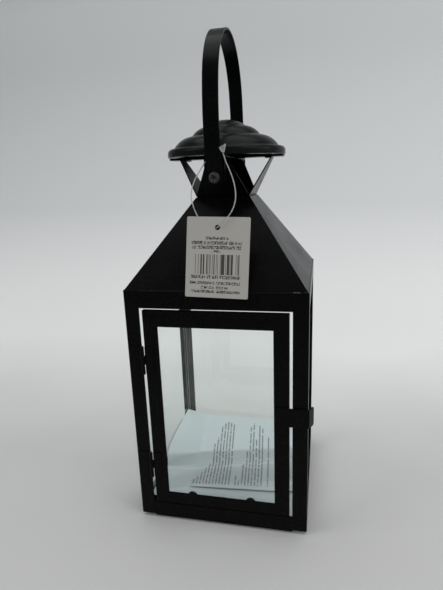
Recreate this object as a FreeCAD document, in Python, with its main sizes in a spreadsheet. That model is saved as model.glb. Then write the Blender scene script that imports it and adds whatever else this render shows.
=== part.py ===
import FreeCAD, Part
import math
import os

import Sketcher

# A square sheet-steel candle lantern: four angle posts, rails and sills, glass on four sides, a hinged
# front door, a pyramid roof, a three-tier cap on four flared legs and a band handle on two rivets.
# +Z is up, the door faces -Y, and the origin is the centre of the tray's underside.

# Driving dimensions in millimetres and degrees, one spreadsheet cell each.
SIZES = {
    # material
    "sheet": 0.8,                # posts, rails, sills, tray, door, legs, cap and clips
    "roof_sheet": 0.7,
    "plate": 1.2,                # cap bracket
    "glass": 2.0,
    # body
    "body_width": 120.0,         # over the posts, both ways
    "foot_gap": 2.8,             # posts and sills end this far above the floor
    "body_top": 172.5,
    "post_leg": 10.0,
    "post_round": 0.8,
    "header_face": 12.0,
    "header_flange": 8.0,
    "hem_height": 8.0,
    "hem_reach": 6.0,            # of each hem behind the posts
    "sill_top": 13.2,
    "tray_side": 12.0,
    "tray_round": 0.8,
    # fixed panes and their clips
    "pane_gap": 0.6,             # between the panes' edges at a corner
    "pane_head": 6.5,            # from a pane's top edge up to the body's top
    "clip_width": 6.0,
    "clip_spacing": 42.0,
    "clip_hook": 6.5,
    "clip_upright": 7.2,
    "clip_foot": 3.6,
    # roof
    "roof_inset": 0.7,           # of a panel's foot behind the header's face
    "roof_mouth": 18.8,          # outer face of a panel at its top, from the axis
    "roof_rise": 56.0,
    # neck legs
    "leg_flange": 6.0,
    "leg_flange_width": 29.6,
    "leg_head_width": 12.6,
    "leg_head_out": 32.6,        # outer face at the head, from the axis
    "leg_rise": 25.7,
    "leg_head_flange": 5.0,
    # cap bracket
    "arm_width": 13.4,
    "ear_inset": 0.8,            # of the ears inside the cap's rim
    "ear_end": 3.4,              # below the pivot
    "ear_round": 3.0,
    "side_arm_width": 12.6,
    "side_arm_inset": 1.0,       # of the side arms inside the cap's rim
    # cap
    "cap_radius": 41.0,
    "cap_lip": 6.0,
    "rim_height": 3.0,
    "rim_round": 2.8,
    "rim_width": 4.4,
    "rim_rise": 0.1,
    "lower_tier_radius": 23.9,
    "lower_tier_rise": 7.8,
    "lower_tier_curve": 14.8,
    "upper_tier_radius": 14.4,
    "upper_tier_rise": 6.2,
    "upper_tier_curve": 12.9,
    "dome_rise": 4.7,
    # handle
    "band_width": 10.0,
    "band": 1.3,
    "pivot_drop": 12.8,          # below the bracket's plate
    "ear_gap": 0.3,
    "end_round": 4.9,
    "foot_curve": 8.0,
    "side_curve": 119.7,
    "top_curve": 43.7,
    "bulge": 3.7,                # of the handle at its widest, past its tabs
    "widest_rise": 33.9,         # above the pivot
    # rivets
    "rivet_radius": 2.0,
    "rivet_play": 0.08,
    "rivet_head": 3.3,
    "rivet_rim": 0.4,
    "rivet_dome": 0.8,
    "clinch_radius": 3.0,
    "clinch": 0.8,
    # door
    "door_side_gap": 2.0,
    "door_foot_gap": 0.6,
    "door_head_gap": 1.5,
    "door_depth": 3.6,
    "stile": 10.0,
    "lower_stile": 9.0,
    "upper_stile": 11.0,
    "glass_play": 0.4,
    "tab_width": 7.0,
    "tab_height": 8.9,
    "tab_spacing": 42.0,
    # hinges
    "hinge_height": 19.4,
    "upper_hinge_inset": 24.9,   # from the door's top edge
    "lower_hinge_inset": 21.4,   # from the door's bottom edge
    "hinge_out": 1.2,            # axis in front of the posts' face
    "hinge_aside": 0.4,          # axis left of the middle of the door's gap
    "hinge_leaf": 0.6,
    "post_leaf_reach": 8.6,
    "door_leaf_reach": 6.0,
    "barrel_radius": 1.25,
    "pin_radius": 0.6,
    "pin_play": 0.05,
    "pin_head": 1.0,
    "pin_head_height": 0.4,
    "knuckle_gap": 0.2,
    "leaf_relief": 0.3,
    # latch strap
    "strap_raise": 3.0,          # above the door's middle
    "strap_height": 13.2,
    "strap_overlap": 9.0,
    "strap_pad": 6.0,
    "strap_joggle": 0.3,
    "strap_slope": 1.0,
    "strap_hook_gap": 0.25,
    "strap_hook_out": 2.5,
    "strap_hook_back": 5.6,
    # hang tag and its loop
    "tag_width": 40.0,
    "tag_height": 50.0,
    "card": 0.45,
    "tag_round": 1.0,
    "tag_hole": 1.65,
    "tag_hole_drop": 6.5,
    "tag_hole_aside": 0.5,
    "tag_gap": 0.3,
    "tag_lean": 10.6,
    "tag_turn": 1.75,
    "tag_reach": 39.75,          # from the eave up to the hole, along the card
    "tag_side": 3.5,
    "loop": 0.7,
    "loop_head": 2.0,
    # leaflet
    "paper": 0.3,
    "paper_margin": 0.5,         # from the clips' feet
    "paper_fold": 33.0,          # of the left flap's fold, from the axis
    "paper_rest": 0.3,           # between the flap's edge and the left pane
}

doc = FreeCAD.newDocument("candle_lantern")
sheet = doc.addObject("Spreadsheet::Sheet", "dims")
for row, (alias, number) in enumerate(SIZES.items(), start=1):
    sheet.set("A%d" % row, alias)
    sheet.set("B%d" % row, str(number))
    sheet.setAlias("B%d" % row, alias)
doc.recompute()


class Size:
    """A number together with the spreadsheet formula that gives it."""

    def __init__(self, value, text=None):
        self.value = float(value)
        self.text = text or "(%r)" % self.value

    def join(self, other, sign, value):
        other = as_size(other)
        return Size(value(self.value, other.value), "(%s %s %s)" % (self.text, sign, other.text))

    def __add__(self, other):
        return self.join(other, "+", lambda a, b: a + b)

    def __sub__(self, other):
        return self.join(other, "-", lambda a, b: a - b)

    def __mul__(self, other):
        return self.join(other, "*", lambda a, b: a * b)

    def __truediv__(self, other):
        return self.join(other, "/", lambda a, b: a / b)

    def __radd__(self, other):
        return as_size(other) + self

    def __rsub__(self, other):
        return as_size(other) - self

    def __rmul__(self, other):
        return as_size(other) * self

    def __neg__(self):
        return as_size(0) - self


def as_size(value):
    return value if isinstance(value, Size) else Size(value)


def root(size):
    return Size(math.sqrt(size.value), "sqrt(%s)" % size.text)


def length_of(across, up):
    return root(across * across + up * up)


class Dims:
    """The spreadsheet's cells as sizes, by alias."""


d = Dims()
for alias in SIZES:
    setattr(d, alias, Size(sheet.get(alias), "dims.%s" % alias))


# ---------------------------------------------------------------- sketches

PLANES = {"XY": ("XY_Plane", 1), "XZ": ("XZ_Plane", -1), "YZ": ("YZ_Plane", 1)}


class Arc:
    """A round stretch from one point of an outline to the next; turn is +1 anticlockwise, -1 clockwise."""

    def __init__(self, radius, turn):
        self.radius = as_size(radius)
        self.turn = turn


class Circle:
    def __init__(self, across, up, radius):
        self.across = as_size(across)
        self.up = as_size(up)
        self.radius = as_size(radius)


class Fold:
    """A bent sheet: its face runs through the points and its gauge lies to the right of them."""

    def __init__(self, points, gauge):
        self.points = points
        self.gauge = gauge


def box(left, right, bottom, top):
    return [(left, bottom), (right, bottom), (right, top), (left, top)]


def bind(obj, name, size):
    obj.setExpression(name, as_size(size).text)


def new_body(label, turned=0.0):
    body = doc.addObject("PartDesign::Body", label)
    body.Label = label
    body.AllowCompound = True
    body.Placement = FreeCAD.Placement(FreeCAD.Vector(), FreeCAD.Rotation(FreeCAD.Vector(0, 0, 1), turned))
    return body


def hold(sketch, kind, geometry, point, size):
    """Sets one coordinate of a point of the sketch and ties it to its formula."""
    if size.text == "(0.0)":
        axis = -2 if kind == "DistanceX" else -1
        sketch.addConstraint(Sketcher.Constraint("PointOnObject", geometry, point, axis))
        return
    number = sketch.addConstraint(Sketcher.Constraint(kind, -1, 1, geometry, point, size.value))
    sketch.setExpression("Constraints[%d]" % number, size.text)


def set_radius(sketch, geometry, size):
    number = sketch.addConstraint(Sketcher.Constraint("Radius", geometry, size.value))
    sketch.setExpression("Constraints[%d]" % number, size.text)


def arc_between(start, end, arc):
    """The shorter arc between two points, as FreeCAD's anticlockwise arc."""
    middle = (start + end) * 0.5
    chord = end - start
    rise = math.sqrt(arc.radius.value ** 2 - chord.Length ** 2 / 4)
    left = FreeCAD.Vector(-chord.y, chord.x, 0).normalize()
    centre = middle + left * (rise * arc.turn)
    first, last = (start, end) if arc.turn > 0 else (end, start)
    angles = [math.atan2(point.y - centre.y, point.x - centre.x) for point in (first, last)]
    circle = Part.Circle(centre, FreeCAD.Vector(0, 0, 1), arc.radius.value)
    return Part.ArcOfCircle(circle, angles[0], angles[1])


def draw_loop(sketch, loop):
    """Draws a closed outline, a list of points with an Arc between two points where the side is round."""
    corners = []
    arcs = []
    for item in loop:
        if isinstance(item, Arc):
            arcs[-1] = item
        else:
            corners.append((as_size(item[0]), as_size(item[1])))
            arcs.append(None)
    spots = [FreeCAD.Vector(across.value, up.value, 0) for across, up in corners]
    ends = []
    for index, arc in enumerate(arcs):
        start = spots[index]
        end = spots[(index + 1) % len(spots)]
        if arc is None:
            number = sketch.addGeometry(Part.LineSegment(start, end), False)
            ends.append((number, 1, 2))
        else:
            number = sketch.addGeometry(arc_between(start, end, arc), False)
            set_radius(sketch, number, arc.radius)
            ends.append((number, 1, 2) if arc.turn > 0 else (number, 2, 1))
    for index, (number, start, end) in enumerate(ends):
        following, next_start, next_end = ends[(index + 1) % len(ends)]
        sketch.addConstraint(Sketcher.Constraint("Coincident", number, end, following, next_start))
        hold(sketch, "DistanceX", number, start, corners[index][0])
        hold(sketch, "DistanceY", number, start, corners[index][1])


def draw_circle(sketch, circle):
    centre = FreeCAD.Vector(circle.across.value, circle.up.value, 0)
    shape = Part.Circle(centre, FreeCAD.Vector(0, 0, 1), circle.radius.value)
    number = sketch.addGeometry(shape, False)
    hold(sketch, "DistanceX", number, 3, circle.across)
    hold(sketch, "DistanceY", number, 3, circle.up)
    set_radius(sketch, number, circle.radius)


def draw_fold(sketch, points, gauge):
    spots = [FreeCAD.Vector(as_size(across).value, as_size(up).value, 0) for across, up in points]
    thickness = as_size(gauge).value
    runs = [(end - start).normalize() for start, end in zip(spots, spots[1:])]
    rights = [FreeCAD.Vector(run.y, -run.x, 0) for run in runs]
    backs = [spots[0] + rights[0] * thickness]
    for spot, before, after in zip(spots[1:-1], rights, rights[1:]):
        backs.append(spot + (before + after) * (thickness / (1 + before.dot(after))))
    backs.append(spots[-1] + rights[-1] * thickness)
    faces = [sketch.addGeometry(Part.LineSegment(*pair), False) for pair in zip(spots, spots[1:])]
    backings = [sketch.addGeometry(Part.LineSegment(*pair), False) for pair in zip(backs, backs[1:])]
    first = sketch.addGeometry(Part.LineSegment(spots[0], backs[0]), False)
    last = sketch.addGeometry(Part.LineSegment(spots[-1], backs[-1]), False)
    for chain in (faces, backings):
        for before, after in zip(chain, chain[1:]):
            sketch.addConstraint(Sketcher.Constraint("Coincident", before, 2, after, 1))
    for end_line, at_end, index in ((first, 1, 0), (last, 2, -1)):
        sketch.addConstraint(Sketcher.Constraint("Coincident", end_line, 1, faces[index], at_end))
        sketch.addConstraint(Sketcher.Constraint("Coincident", end_line, 2, backings[index], at_end))
        sketch.addConstraint(Sketcher.Constraint("Perpendicular", end_line, faces[index]))
    for face, backing in zip(faces, backings):
        sketch.addConstraint(Sketcher.Constraint("Parallel", face, backing))
        number = sketch.addConstraint(Sketcher.Constraint("Distance", backing, 1, face, thickness))
        sketch.setExpression("Constraints[%d]" % number, as_size(gauge).text)
    for index, (across, up) in enumerate(points):
        line, end = (faces[index], 1) if index < len(faces) else (faces[-1], 2)
        hold(sketch, "DistanceX", line, end, as_size(across))
        hold(sketch, "DistanceY", line, end, as_size(up))


def new_sketch(body, name, plane, offset, outlines, raised=0.0):
    role, direction = PLANES[plane]
    sketch = body.newObject("Sketcher::SketchObject", "%s_%s_sketch" % (body.Name, name))
    support = [feature for feature in body.Origin.OriginFeatures if feature.Role == role]
    sketch.AttachmentSupport = [(support[0], "")]
    sketch.MapMode = "FlatFace"
    bind(sketch, "AttachmentOffset.Base.z", direction * as_size(offset))
    bind(sketch, "AttachmentOffset.Base.y", raised)
    for outline in outlines:
        if isinstance(outline, Circle):
            draw_circle(sketch, outline)
        elif isinstance(outline, Fold):
            draw_fold(sketch, outline.points, outline.gauge)
        else:
            draw_loop(sketch, outline)
    return sketch


# ---------------------------------------------------------------- features

def between(body, kind, name, plane, low, high, outlines):
    """A Pad or Pocket from low to high along the axis that the sketch plane faces."""
    direction = PLANES[plane][1]
    start = low if direction > 0 else high
    sketch = new_sketch(body, name, plane, start, outlines)
    feature = body.newObject("PartDesign::%s" % kind, "%s_%s" % (body.Name, name))
    feature.Profile = sketch
    bind(feature, "Length", as_size(high) - low)
    return feature


def pad(body, name, plane, low, high, *outlines):
    before = volume(body)
    between(body, "Pad", name, plane, low, high, outlines)
    grown(body, name, before, 1)


def pocket(body, name, plane, low, high, *outlines):
    before = volume(body)
    feature = between(body, "Pocket", name, plane, low, high, outlines)
    feature.Reversed = True
    grown(body, name, before, -1)


def spin(body, kind, name, plane, axis, outline, raised=0.0):
    """A Revolution or Groove right round one axis of its sketch."""
    before = volume(body)
    sketch = new_sketch(body, name, plane, 0.0, [outline], raised)
    feature = body.newObject("PartDesign::%s" % kind, "%s_%s" % (body.Name, name))
    feature.Profile = sketch
    feature.ReferenceAxis = (sketch, [axis])
    feature.Angle = 360.0
    grown(body, name, before, -1 if kind == "Groove" else 1)


def volume(body):
    doc.recompute()
    return body.Shape.Volume if body.Tip else 0.0


def grown(body, name, before, sign):
    """Stops the build where a pad adds nothing or a pocket cuts nothing."""
    change = (volume(body) - before) * sign
    if change <= 0:
        raise RuntimeError("%s %s changes nothing" % (body.Label, name))


def straight_edges(shape, axis, places):
    """Names of the edges that run along an axis through the given pairs of the other two coordinates."""
    others = [index for index in range(3) if index != "XYZ".index(axis)]
    names = []
    for number, edge in enumerate(shape.Edges, start=1):
        ends = [vertex.Point for vertex in edge.Vertexes]
        if len(ends) != 2 or edge.Curve.TypeId != "Part::GeomLine":
            continue
        for place in places:
            goal = [as_size(part).value for part in place]
            if all(abs(end[others[k]] - goal[k]) < 1e-4 for end in ends for k in (0, 1)):
                names.append("Edge%d" % number)
    return names


def round_off(body, name, radius, axis, *places):
    doc.recompute()
    base = body.Tip
    feature = body.newObject("PartDesign::Fillet", "%s_%s" % (body.Name, name))
    edges = straight_edges(base.Shape, axis, places)
    if len(edges) < len(places):
        raise RuntimeError("%s %s finds %d edges" % (body.Label, name, len(edges)))
    feature.Base = (base, edges)
    bind(feature, "Radius", radius)
    doc.recompute()


SIDES = {"front": 0, "right": 90, "rear": 180, "left": 270}
CORNERS = {"front_left": 0, "front_right": 90, "rear_right": 180, "rear_left": 270}

# Distances from the axis, shared by the pieces that meet there.
face = d.body_width / 2
inner_face = face - d.sheet
hem_face = inner_face - d.sheet
pane_face = hem_face - d.sheet
pane_half = pane_face - d.glass - d.pane_gap
pane_top = d.body_top - d.pane_head
rail_half = face - d.post_leg
hem_half = rail_half + d.hem_reach


# ---------------------------------------------------------------- body

def post(corner, turned):
    """A corner angle; drawn at the front left corner."""
    body = new_body("%s_post" % corner, turned)
    angle = [
        (-face, -face),
        (-rail_half, -face),
        (-rail_half, -inner_face),
        (-inner_face, -inner_face),
        (-inner_face, -rail_half),
        (-face, -rail_half),
    ]
    pad(body, "angle", "XY", d.foot_gap, d.body_top, angle)
    round_off(body, "bend", d.post_round, "Z", (-face, -face))


def header(side, turned):
    """A rail with a flange turned in at the top and a hem folded up inside; drawn at the front."""
    body = new_body("%s_header" % side, turned)
    bottom = d.body_top - d.header_face
    section = [
        (-face, bottom),
        (-inner_face, bottom),
        (-inner_face, d.body_top - d.sheet),
        (d.header_flange - face, d.body_top - d.sheet),
        (d.header_flange - face, d.body_top),
        (-face, d.body_top),
    ]
    pad(body, "rail", "YZ", -rail_half, rail_half, section)
    hem = box(-inner_face, -hem_face, bottom, bottom + d.hem_height)
    pad(body, "hem", "YZ", -hem_half, hem_half, hem)
    round_off(body, "bend", d.post_round, "X", (-face, d.body_top))


def sill(side, turned):
    """A rail at the foot with a hem folded down inside; drawn at the front."""
    body = new_body("%s_sill" % side, turned)
    pad(body, "rail", "YZ", -rail_half, rail_half, box(-face, -inner_face, d.foot_gap, d.sill_top))
    hem = box(-inner_face, -hem_face, d.sill_top - d.hem_height, d.sill_top)
    pad(body, "hem", "YZ", -hem_half, hem_half, hem)


def base_tray():
    """A floor with a side turned up inside each sill, and its corners notched for the posts."""
    body = new_body("base_tray")
    floor = []
    for quarter in range(4):
        corner = [(rail_half, -hem_face), (rail_half, -rail_half), (hem_face, -rail_half)]
        floor += [quarter_turned(point, quarter) for point in corner]
    pad(body, "floor", "XY", 0.0, d.sheet, floor)
    sides = []
    for quarter in range(4):
        strip = box(-rail_half, rail_half, -hem_face, -pane_face)
        sides.append([quarter_turned(point, quarter) for point in strip])
    pad(body, "sides", "XY", 0.0, d.tray_side, *sides)
    round_off(body, "side_folds", d.tray_round, "X", (-hem_face, 0.0), (hem_face, 0.0))
    round_off(body, "end_folds", d.tray_round, "Y", (-hem_face, 0.0), (hem_face, 0.0))


def quarter_turned(point, quarters):
    across, up = point
    for _ in range(quarters):
        across, up = -as_size(up), across
    return across, up


def pane(side, turned):
    """A fixed pane standing on the tray's floor; drawn at the front."""
    body = new_body("%s_glass" % side, turned)
    outline = box(-pane_half, pane_half, d.sheet, pane_top)
    pad(body, "pane", "XZ", -pane_face, d.glass - pane_face, outline)


def pane_clips(side, turned):
    """Two hooks over the pane's top edge and two angles on the floor behind its foot."""
    body = new_body("%s_glass_clips" % side, turned)
    outer = -hem_face
    behind = d.glass - pane_face
    top = pane_top + d.sheet
    hook = [
        (outer, pane_top - d.clip_hook + d.sheet),
        (outer, top),
        (behind + d.sheet, top),
        (behind + d.sheet, pane_top - d.clip_hook),
        (behind, pane_top - d.clip_hook),
        (behind, pane_top),
        (-pane_face, pane_top),
        (-pane_face, pane_top - d.clip_hook + d.sheet),
    ]
    angle = [
        (behind, d.sheet),
        (behind, d.sheet + d.clip_upright),
        (behind + d.sheet, d.sheet + d.clip_upright),
        (behind + d.sheet, d.sheet * 2),
        (behind + d.clip_foot, d.sheet * 2),
        (behind + d.clip_foot, d.sheet),
    ]
    for name, centre in (("left", -d.clip_spacing / 2), ("right", d.clip_spacing / 2)):
        low = centre - d.clip_width / 2
        high = centre + d.clip_width / 2
        pad(body, "%s_hook" % name, "YZ", low, high, hook)
        pad(body, "%s_angle" % name, "YZ", low, high, angle)


# ---------------------------------------------------------------- roof, neck and cap

roof_foot = face - d.roof_inset
roof_top = d.body_top + d.roof_rise
roof_run = roof_foot - d.roof_mouth
roof_slant = length_of(roof_run, d.roof_rise)
roof_wall = d.roof_sheet * roof_slant / d.roof_rise
bracket_under = roof_top + d.leg_rise
bracket_top = bracket_under + d.plate
ear_face = d.cap_radius - d.ear_inset
pivot_height = bracket_under - d.pivot_drop


def mitre(body, bottom, top):
    """Cuts a piece drawn at the front along the upright planes through the body's diagonals."""
    for name, side in (("left", -1), ("right", 1)):
        wedge = [(0.0, 0.0), (side * d.body_width, -d.body_width), (side * d.body_width, 0.0)]
        pocket(body, "%s_mitre" % name, "XY", bottom, top, wedge)


def roof_panel(side, turned):
    """A sloping panel from the header's flange to the roof's mouth; drawn at the front."""
    body = new_body("%s_roof_panel" % side, turned)
    section = [
        (-roof_foot, d.body_top),
        (roof_wall - roof_foot, d.body_top),
        (roof_wall - d.roof_mouth, roof_top),
        (-d.roof_mouth, roof_top),
    ]
    pad(body, "slope", "YZ", -roof_foot, roof_foot, section)
    mitre(body, d.body_top - d.plate, roof_top + d.plate)


def neck_leg(side, turned):
    """A strip that hooks inside the roof's mouth, flares out and turns in under the cap bracket."""
    body = new_body("%s_neck_leg" % side, turned)
    fold = roof_wall - d.roof_mouth
    down = d.leg_flange / roof_slant
    strip = [
        (fold - roof_run * down, roof_top - d.roof_rise * down),
        (fold, roof_top),
        (-d.leg_head_out, bracket_under),
        (d.leg_head_flange - d.leg_head_out, bracket_under),
    ]
    half = d.roof_mouth
    pad(body, "strip", "YZ", -half, half, Fold(strip, d.sheet))
    bottom = roof_top - d.leg_flange * 2
    top = bracket_under + d.sheet
    for name, sign in (("left", -1), ("right", 1)):
        waste = [
            (sign * d.leg_flange_width / 2, bottom),
            (sign * d.leg_flange_width / 2, roof_top),
            (sign * half, roof_top),
            (sign * d.leg_head_width / 2, bracket_under),
            (sign * d.leg_head_width / 2, top),
            (sign * d.roof_mouth * 2, top),
            (sign * d.roof_mouth * 2, bottom),
        ]
        pocket(body, "%s_taper" % name, "XZ", -d.leg_head_out - d.plate, 0.0, waste)
    mitre(body, bottom, top)


def cap_bracket():
    """A cross of strip on the neck's four heads; its front and rear arms turn down as the handle's ears."""
    body = new_body("cap_bracket")
    arm = d.arm_width / 2
    side_arm = d.side_arm_width / 2
    side_end = d.cap_radius - d.side_arm_inset
    ear_bottom = pivot_height - d.ear_end
    cross = [
        (-arm, -ear_face), (arm, -ear_face), (arm, -side_arm), (side_end, -side_arm),
        (side_end, side_arm), (arm, side_arm), (arm, ear_face), (-arm, ear_face),
        (-arm, side_arm), (-side_end, side_arm), (-side_end, -side_arm), (-arm, -side_arm),
    ]
    pad(body, "cross", "XY", bracket_under, bracket_top, cross)
    ear = box(-arm, arm, ear_bottom, bracket_top)
    pad(body, "front_ear", "XZ", -ear_face, d.plate - ear_face, ear)
    pad(body, "rear_ear", "XZ", ear_face - d.plate, ear_face, ear)
    round_off(body, "ear_corners", d.ear_round, "Y", (-arm, ear_bottom), (arm, ear_bottom))
    round_off(body, "ear_bends", d.plate, "X", (-ear_face, bracket_top), (ear_face, bracket_top))
    hole = Circle(0.0, pivot_height, d.rivet_radius)
    pocket(body, "rivet_holes", "XZ", -ear_face - d.plate, ear_face + d.plate, hole)


def cap_outline(depth, mouth):
    """Half the cap's section, moved in and down by a depth; its floor ends at the mouth's radius."""
    rim_top = bracket_top + d.rim_height
    tier_foot = rim_top + d.rim_round + d.rim_rise
    lower_top = tier_foot + d.lower_tier_rise
    upper_top = lower_top + d.upper_tier_rise
    dome_radius = d.upper_tier_radius - depth
    dome_curve = (dome_radius * dome_radius + d.dome_rise * d.dome_rise) / (2 * d.dome_rise)
    return [
        (0.0, bracket_top),
        (mouth, bracket_top),
        (mouth, bracket_top + depth),
        (d.cap_radius - depth, bracket_top + depth),
        (d.cap_radius - depth, rim_top),
        Arc(d.rim_round - depth, 1),
        (d.cap_radius - d.rim_round, rim_top + d.rim_round - depth),
        (d.cap_radius - d.rim_width - depth, tier_foot - depth),
        Arc(d.lower_tier_curve, 1),
        (d.lower_tier_radius - depth, lower_top - depth),
        Arc(d.upper_tier_curve, 1),
        (dome_radius, upper_top - depth),
        Arc(dome_curve, 1),
        (0.0, upper_top + d.dome_rise - depth),
    ]


def cap():
    """One pressing: a rim, two rounded tiers and a dome, hollow below, with a lip turned in at the rim."""
    body = new_body("cap")
    solid = cap_outline(Size(0.0), d.cap_radius)
    del solid[1:3]
    spin(body, "Revolution", "pressing", "XZ", "V_Axis", solid)
    spin(body, "Groove", "hollow", "XZ", "V_Axis", cap_outline(d.sheet, d.cap_radius - d.cap_lip))


# ---------------------------------------------------------------- handle

def handle():
    """A flat band bent to a tall arch; its ends are upright tabs outside the bracket's ears."""
    body = new_body("handle")
    outer = ear_face + d.ear_gap + d.band
    bottom = pivot_height - d.end_round
    side_centre = d.side_curve - outer - d.bulge
    widest = pivot_height + d.widest_rise
    foot_centre = outer + d.foot_curve
    reach = d.side_curve + d.foot_curve
    drop = root(reach * reach - (side_centre + foot_centre) * (side_centre + foot_centre))
    tab_top = widest - drop
    crown = d.side_curve - d.top_curve
    lift = root(crown * crown - side_centre * side_centre)

    def side_points(inside):
        """The three tangent points of the front side, on the outer face or the inner one."""
        depth = d.band * inside
        foot_share = (d.foot_curve + depth) / reach
        crown_share = (d.side_curve - depth) / crown
        return [
            (depth - outer, tab_top),
            ((side_centre + foot_centre) * foot_share - foot_centre, tab_top + drop * foot_share),
            (side_centre - side_centre * crown_share, widest + lift * crown_share),
        ]

    def mirrored(points):
        return [(-across, up) for across, up in reversed(points)]

    def face_line(inside):
        depth = d.band * inside
        bends = [Arc(d.foot_curve + depth, 1), Arc(d.side_curve - depth, -1), Arc(d.top_curve - depth, -1)]
        bends += [Arc(d.side_curve - depth, -1), Arc(d.foot_curve + depth, 1)]
        points = side_points(inside) + mirrored(side_points(inside))
        return points, bends

    outside, outside_bends = face_line(0)
    inside, inside_bends = face_line(1)
    outline = [(-outer, bottom)]
    for point, bend in zip(outside, outside_bends):
        outline += [point, bend]
    outline += [outside[-1], (outer, bottom), (outer - d.band, bottom)]
    for point, bend in zip(mirrored(inside), inside_bends):
        outline += [(-point[0], point[1])]
        outline += [Arc(bend.radius, -bend.turn)]
    outline += [inside[0], (d.band - outer, bottom)]
    half = d.band_width / 2
    pad(body, "band", "YZ", -half, half, outline)
    round_off(body, "ends", d.end_round, "Y", (-half, bottom), (half, bottom))
    hole = Circle(0.0, pivot_height, d.rivet_radius + d.rivet_play)
    pocket(body, "rivet_holes", "XZ", -outer - d.band, outer + d.band, hole)


def handle_rivets():
    """Two rivets clinched inside the ears, with a low dome outside the handle."""
    body = new_body("handle_rivets")
    behind = ear_face - d.plate - d.clinch
    under_head = ear_face + d.ear_gap + d.band + d.rivet_play
    rim = under_head + d.rivet_rim
    curve = (d.rivet_head * d.rivet_head + d.rivet_dome * d.rivet_dome) / (2 * d.rivet_dome)
    for name, side in (("front", -1), ("rear", 1)):
        outline = [
            (side * behind, 0.0),
            (side * behind, d.clinch_radius),
            (side * (ear_face - d.plate), d.clinch_radius),
            (side * (ear_face - d.plate), d.rivet_radius),
            (side * under_head, d.rivet_radius),
            (side * under_head, d.rivet_head),
            (side * rim, d.rivet_head),
            Arc(curve, -side),
            (side * (rim + d.rivet_dome), 0.0),
        ]
        spin(body, "Revolution", name, "YZ", "H_Axis", outline, raised=pivot_height)


# ---------------------------------------------------------------- door

door_half = rail_half - d.door_side_gap
door_bottom = d.sill_top + d.door_foot_gap
door_top = d.body_top - d.header_face - d.door_head_gap


def door_frame():
    """A flat frame of one sheet with its outer edge turned back all round."""
    body = new_body("door_frame")
    outline = box(-door_half, door_half, door_bottom, door_top)
    opening = box(
        d.stile - door_half, door_half - d.stile, door_bottom + d.lower_stile, door_top - d.upper_stile
    )
    inside = box(
        d.sheet - door_half, door_half - d.sheet, door_bottom + d.sheet, door_top - d.sheet
    )
    pad(body, "face", "XZ", -face, -inner_face, outline, opening)
    pad(body, "edge", "XZ", -inner_face, d.door_depth - face, outline, inside)


def door_glass():
    body = new_body("door_glass")
    half = door_half - d.sheet - d.glass_play
    bottom = door_bottom + d.sheet
    top = door_top - d.sheet - d.glass_play * 2
    pad(body, "pane", "XZ", -inner_face, d.glass - inner_face, box(-half, half, bottom, top))


def door_glass_clips():
    """Four tabs with round ends that stand from the turned edge behind the glass."""
    body = new_body("door_glass_clips")
    half = d.tab_width / 2
    low = d.glass - inner_face
    for level, foot, sign in (("lower", door_bottom + d.sheet, 1), ("upper", door_top - d.sheet, -1)):
        for name, centre in (("left", -d.tab_spacing / 2), ("right", d.tab_spacing / 2)):
            shoulder = foot + sign * (d.tab_height - half)
            tab = [
                (centre - half, foot),
                (centre - half, shoulder),
                Arc(half, -sign),
                (centre, foot + sign * d.tab_height),
                Arc(half, -sign),
                (centre + half, shoulder),
                (centre + half, foot),
            ]
            pad(body, "%s_%s" % (level, name), "XZ", low, low + d.sheet, tab)


# ---------------------------------------------------------------- hinges and latch

hinge_x = -(door_half + rail_half) / 2 - d.hinge_aside
hinge_y = -face - d.hinge_out
knuckle = (d.hinge_height - 2 * d.knuckle_gap) / 3
leaf_back = -face
leaf_front = -face - d.hinge_leaf


def hinge_leaf(label, bottom, side, reach, knuckles, bore):
    """A leaf on the face of the post (side -1) or the door (side 1), rolled round the pin at its knuckles."""
    body = new_body(label)
    top = bottom + d.hinge_height
    free = root(
        (d.barrel_radius + d.leaf_relief) * (d.barrel_radius + d.leaf_relief)
        - (d.hinge_out - d.hinge_leaf) * (d.hinge_out - d.hinge_leaf)
    )
    leaf = strip_between(hinge_x + side * free, hinge_x + side * (free + reach))
    pad(body, "leaf", "XY", bottom, top, leaf)
    tongue = strip_between(hinge_x, hinge_x + side * (free + d.hinge_leaf))
    barrel = Circle(hinge_x, hinge_y, d.barrel_radius)
    for number in knuckles:
        low = bottom + number * (knuckle + d.knuckle_gap)
        pad(body, "tongue_%d" % number, "XY", low, low + knuckle, tongue)
        pad(body, "knuckle_%d" % number, "XY", low, low + knuckle, barrel)
    pocket(body, "bore", "XY", bottom - d.knuckle_gap, top + d.knuckle_gap, Circle(hinge_x, hinge_y, bore))


def strip_between(one, other):
    """The leaf's plan from one x to the other, in either order."""
    left, right = (one, other) if one.value < other.value else (other, one)
    return box(left, right, leaf_front, leaf_back)


def hinge_pin(label, bottom):
    body = new_body(label)
    top = bottom + d.hinge_height
    shank = Circle(hinge_x, hinge_y, d.pin_radius)
    head = Circle(hinge_x, hinge_y, d.pin_head)
    pad(body, "shank", "XY", bottom - d.pin_head_height, top + d.pin_head_height, shank)
    pad(body, "upper_head", "XY", top, top + d.pin_head_height, head)
    pad(body, "lower_head", "XY", bottom - d.pin_head_height, bottom, head)


def latch_strap():
    """A spring strap on the door's right stile that snaps round the right post's corner."""
    body = new_body("latch_strap")
    start = door_half - d.strap_overlap
    joggle = start + d.strap_pad
    corner = face + d.strap_hook_gap
    middle = (door_bottom + door_top) / 2 + d.strap_raise
    strip = [
        (start, -face),
        (joggle, -face),
        (joggle + d.strap_slope, -face - d.strap_joggle),
        (corner, -face - d.strap_joggle),
        (corner + d.strap_hook_out, d.strap_hook_back - face - d.strap_joggle),
    ]
    bottom = middle - d.strap_height / 2
    pad(body, "strip", "XY", bottom, bottom + d.strap_height, Fold(strip, d.sheet))


# ---------------------------------------------------------------- tag, loop and leaflet

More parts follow.
